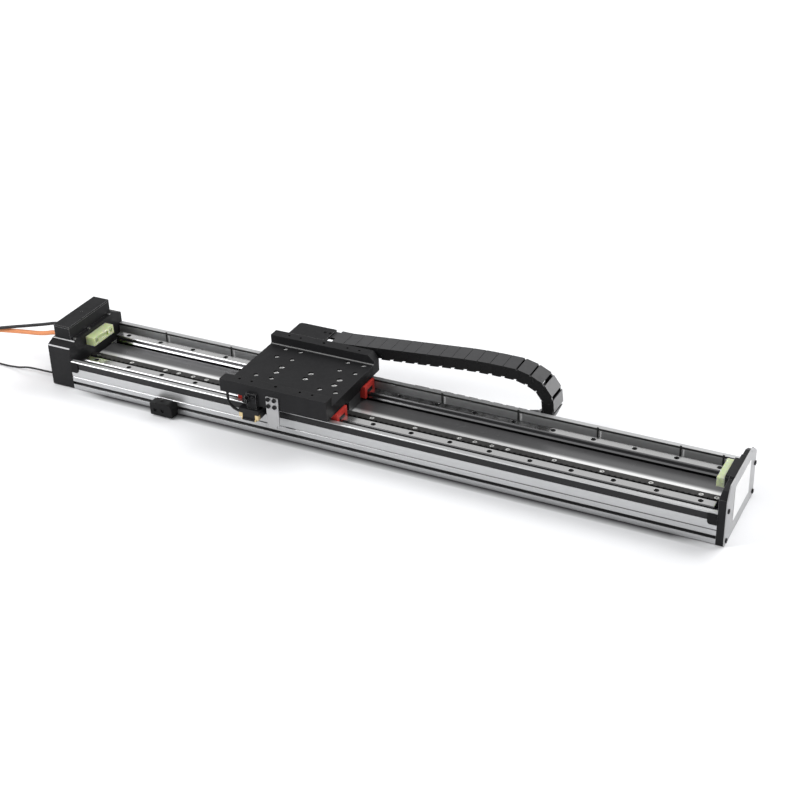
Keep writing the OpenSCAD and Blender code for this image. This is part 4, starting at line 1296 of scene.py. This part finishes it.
@dataclass
class FreeCable:
    """A cable from its gland to its plug.

    Attributes:
        name: What the cable is for.
        diameter: Its diameter.
        route: The points that it follows, in millimetres.
        look: Its finish.
        plug_radius: Radius of the plug's grip.
        plug_length: Length of the plug.
        plug_look: The plug's finish.
        sides: Points round the cable.
    """

    name: str
    diameter: float
    route: Sequence[Point]
    look: Look
    plug_radius: float
    plug_length: float
    plug_look: Look
    sides: int = 20

    def build(self, paint: Paintbox) -> None:
        """Args:
            paint: The finishes.
        """
        route = np.array(self.route) / 1000.0
        path = smooth_path(route, CABLE_STEP)
        cable = swept_tube(self.name + "_jacket", path, self.diameter / 2, self.sides)
        paint.paint(cable, self.look)
        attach(cable, "base")
        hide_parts(self.name + "_cable")
        plug = self.plug(route)
        paint.paint(plug, self.plug_look)
        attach(plug, "base")
        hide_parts(self.name + "_plug")

    def plug(self, route: np.ndarray) -> bpy.types.Object:
        """A round connector: a clamping nut, a knurled coupling ring and the mating nose.

        Args:
            route: The cable's points, in metres.

        Returns:
            The plug.
        """
        radius, long = self.plug_radius, self.plug_length
        shape = np.array([
            [0.0, 0.0], [0.0, 0.52], [0.02, 0.6], [0.02, 0.75], [0.16, 0.75], [0.2, 0.7], [0.2, 0.94],
            [0.22, 1.0], [0.235, 1.0], [0.72, 1.0], [0.735, 1.0], [0.75, 0.94], [0.75, 0.7], [0.985, 0.7],
            [1.0, 0.66], [1.0, 0.58], [0.86, 0.58], [0.86, 0.0],
        ])
        return turned_grip(
            self.name + "_connector", route[-1], route[-1] - route[-2], shape * np.array([long, radius]),
            ridges=24, span=(0.225 * long, 0.73 * long), depth=0.06 * radius, sides=96,
        )


POWER_CABLE = FreeCable(
    "power", 0.007,
    [(-544.5, -48.8, 81.5), (-551, -48.8, 81.5), (-558, -48.8, 79.8), (-568, -48.8, 76.8),
     (-584, -48.8, 73.6), (-606, -48.8, 70.9), (-633, -48.8, 67.2), (-660, -48.8, 62.9), (-684, -49, 55.5),
     (-704, -49.2, 45.5), (-722, -49.4, 33), (-740, -49.6, 20.5), (-760, -49.8, 9.8), (-782, -50, 4.8),
     (-808, -50.2, 3.8), (-840, -50.4, 3.8), (-872, -50.6, 3.8), (-900, -50.8, 4.4), (-924, -51, 6),
     (-948, -51.2, 8.4)],
    Look.ORANGE_CABLE, 0.0084, 0.046, Look.PLUG_METAL,
)
ENCODER_CABLE = FreeCable(
    "encoder", 0.005,
    [(-544.5, -37.4, 92), (-551, -37.4, 92), (-560, -38, 90.4), (-572, -39.6, 87.4), (-588, -42.4, 84),
     (-606, -46, 80.5), (-630, -50.7, 76), (-653, -55.5, 71.5), (-675, -60, 65.6), (-696, -64, 55.6),
     (-714, -67, 43.6), (-731, -69.5, 30.6), (-749, -71.5, 17.8), (-769, -73, 7.6), (-792, -74, 3.4),
     (-818, -75, 2.8), (-846, -76, 2.8), (-874, -76.8, 2.8), (-900, -77.4, 3.3), (-924, -78, 4.8),
     (-948, -78.6, 7)],
    Look.BLACK_CABLE, 0.0066, 0.040, Look.PLUG_METAL,
)
SENSOR_CABLE = FreeCable(
    "sensor", 0.003,
    [(-548.5, -55.4, 12), (-554, -55.4, 12), (-563, -55.3, 11.4), (-578, -55.2, 11), (-594, -55.2, 10.8),
     (-608, -55, 10), (-618, -54.6, 8), (-627, -54.1, 5.7), (-638, -53.4, 4), (-651, -52.6, 2.6),
     (-662, -51.8, 1.95), (-676, -51, 1.8), (-696, -49, 1.8), (-716, -45.4, 1.8), (-738, -40.4, 1.8),
     (-762, -35.4, 1.8), (-790, -31, 1.8), (-820, -28, 1.8), (-852, -26, 1.8), (-886, -25, 2.2),
     (-916, -24.4, 3.4), (-946, -24, 5.2)],
    Look.BLACK_CABLE, 0.0048, 0.034, Look.BLACK_PLASTIC, sides=14,
)


# ---- Chain runs, label and the CAD nodes ----


@dataclass
class ChainRun:
    """A straight run of the drag chain.

    Attributes:
        node: The CAD node that it stands for.
        held: The body at its end with the lower X.
        bend: The body at its other end.
        slack: How far past the ends the change is spread, so that links don't fold over. Not used.
    """

    node: str
    held: str
    bend: str
    slack: float = 0.02

    def build(self, paint: Paintbox) -> None:
        """Copies the links, joins their points, paints them and hides the CAD node.

        Args:
            paint: The finishes.
        """
        piece = placed(self.node + "_links", frame["nodes"][self.node].data.copy())
        merge_points(piece)
        paint.paint(piece, Look.CHAIN_PLASTIC)
        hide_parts(self.node)
        low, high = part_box(self.node)
        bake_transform(piece)
        LOG.info("%s stretches between %s and %s", piece.name, self.held, self.bend)


@dataclass
class BlankLabel:
    """The plain white plate on the end cover.

    Attributes:
        size: Its size along Y and Z.
        centre: Its middle along Y and Z.
        thickness: Its thickness.
        corner: Radius of its corners.
        corner_points: Points in each corner's arc.
    """

    size: tuple[float, float] = (0.075, 0.0515)
    centre: tuple[float, float] = (0.0011, 0.04675)
    thickness: float = 0.0006
    corner: float = 0.0015
    corner_points: int = 7

    def build(self, paint: Paintbox) -> None:
        """A rounded rectangle pushed out from the cover's face: quarter circles at four corners.

        Args:
            paint: The finishes.
        """
        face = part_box("right_cover_plate")[1].x
        angle = np.linspace(0, np.pi / 2, self.corner_points)
        reach = np.array(self.size) / 2 - self.corner
        outline = np.vstack([
            reach * (along, up) + self.corner * np.column_stack([np.cos(angle + turn), np.sin(angle + turn)])
            for along, up, turn in (
                (1, 1, 0.0), (-1, 1, 0.5 * np.pi), (-1, -1, np.pi), (1, -1, 1.5 * np.pi),
            )
        ]) + self.centre
        count = len(outline)
        points = np.vstack([
            np.column_stack([np.full(count, x), outline]) for x in (face, face + self.thickness)
        ])
        caps = [list(range(count, 2 * count)), list(range(count))[::-1]]
        piece = mesh_piece("blank_label", points, ring_walls(2, count) + caps, smooth=False)
        paint.paint(piece, Look.LABEL)
        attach(piece, "base")
        LOG.info("%s is %.0f mm by %.1f mm", piece.name, 1000 * self.size[0], 1000 * self.size[1])


class CadFinishes:
    """Puts a finish on every CAD node by its slot in the record."""

    def build(self, paint: Paintbox) -> None:
        """Paints them all.

        Args:
            paint: The finishes.
        """
        for part in frame["record"]["subparts"]:
            look = NODE_LOOKS.get(part["node"]) or Look[part["material_slot"].upper()]
            paint.paint(frame["nodes"][part["node"]], look)
            LOG.info("%s is finished in %s", part["node"], look.value.name)


def main() -> None:
    """Builds the studio, the cables and the dressed axis."""
    logging.basicConfig(level=logging.INFO, format="%(message)s")
    Studio().build()
    paint = Paintbox()
    for cable in (POWER_CABLE, ENCODER_CABLE, SENSOR_CABLE):
        cable.build(paint)
    CadFinishes().build(paint)
    ChainRun("chain_upper_run", "carriage", "upper_bend").build(paint)
    ChainRun("chain_lower_run", "base", "lower_bend").build(paint)
    BlankLabel().build(paint)


if __name__ == "__main__":
    main()
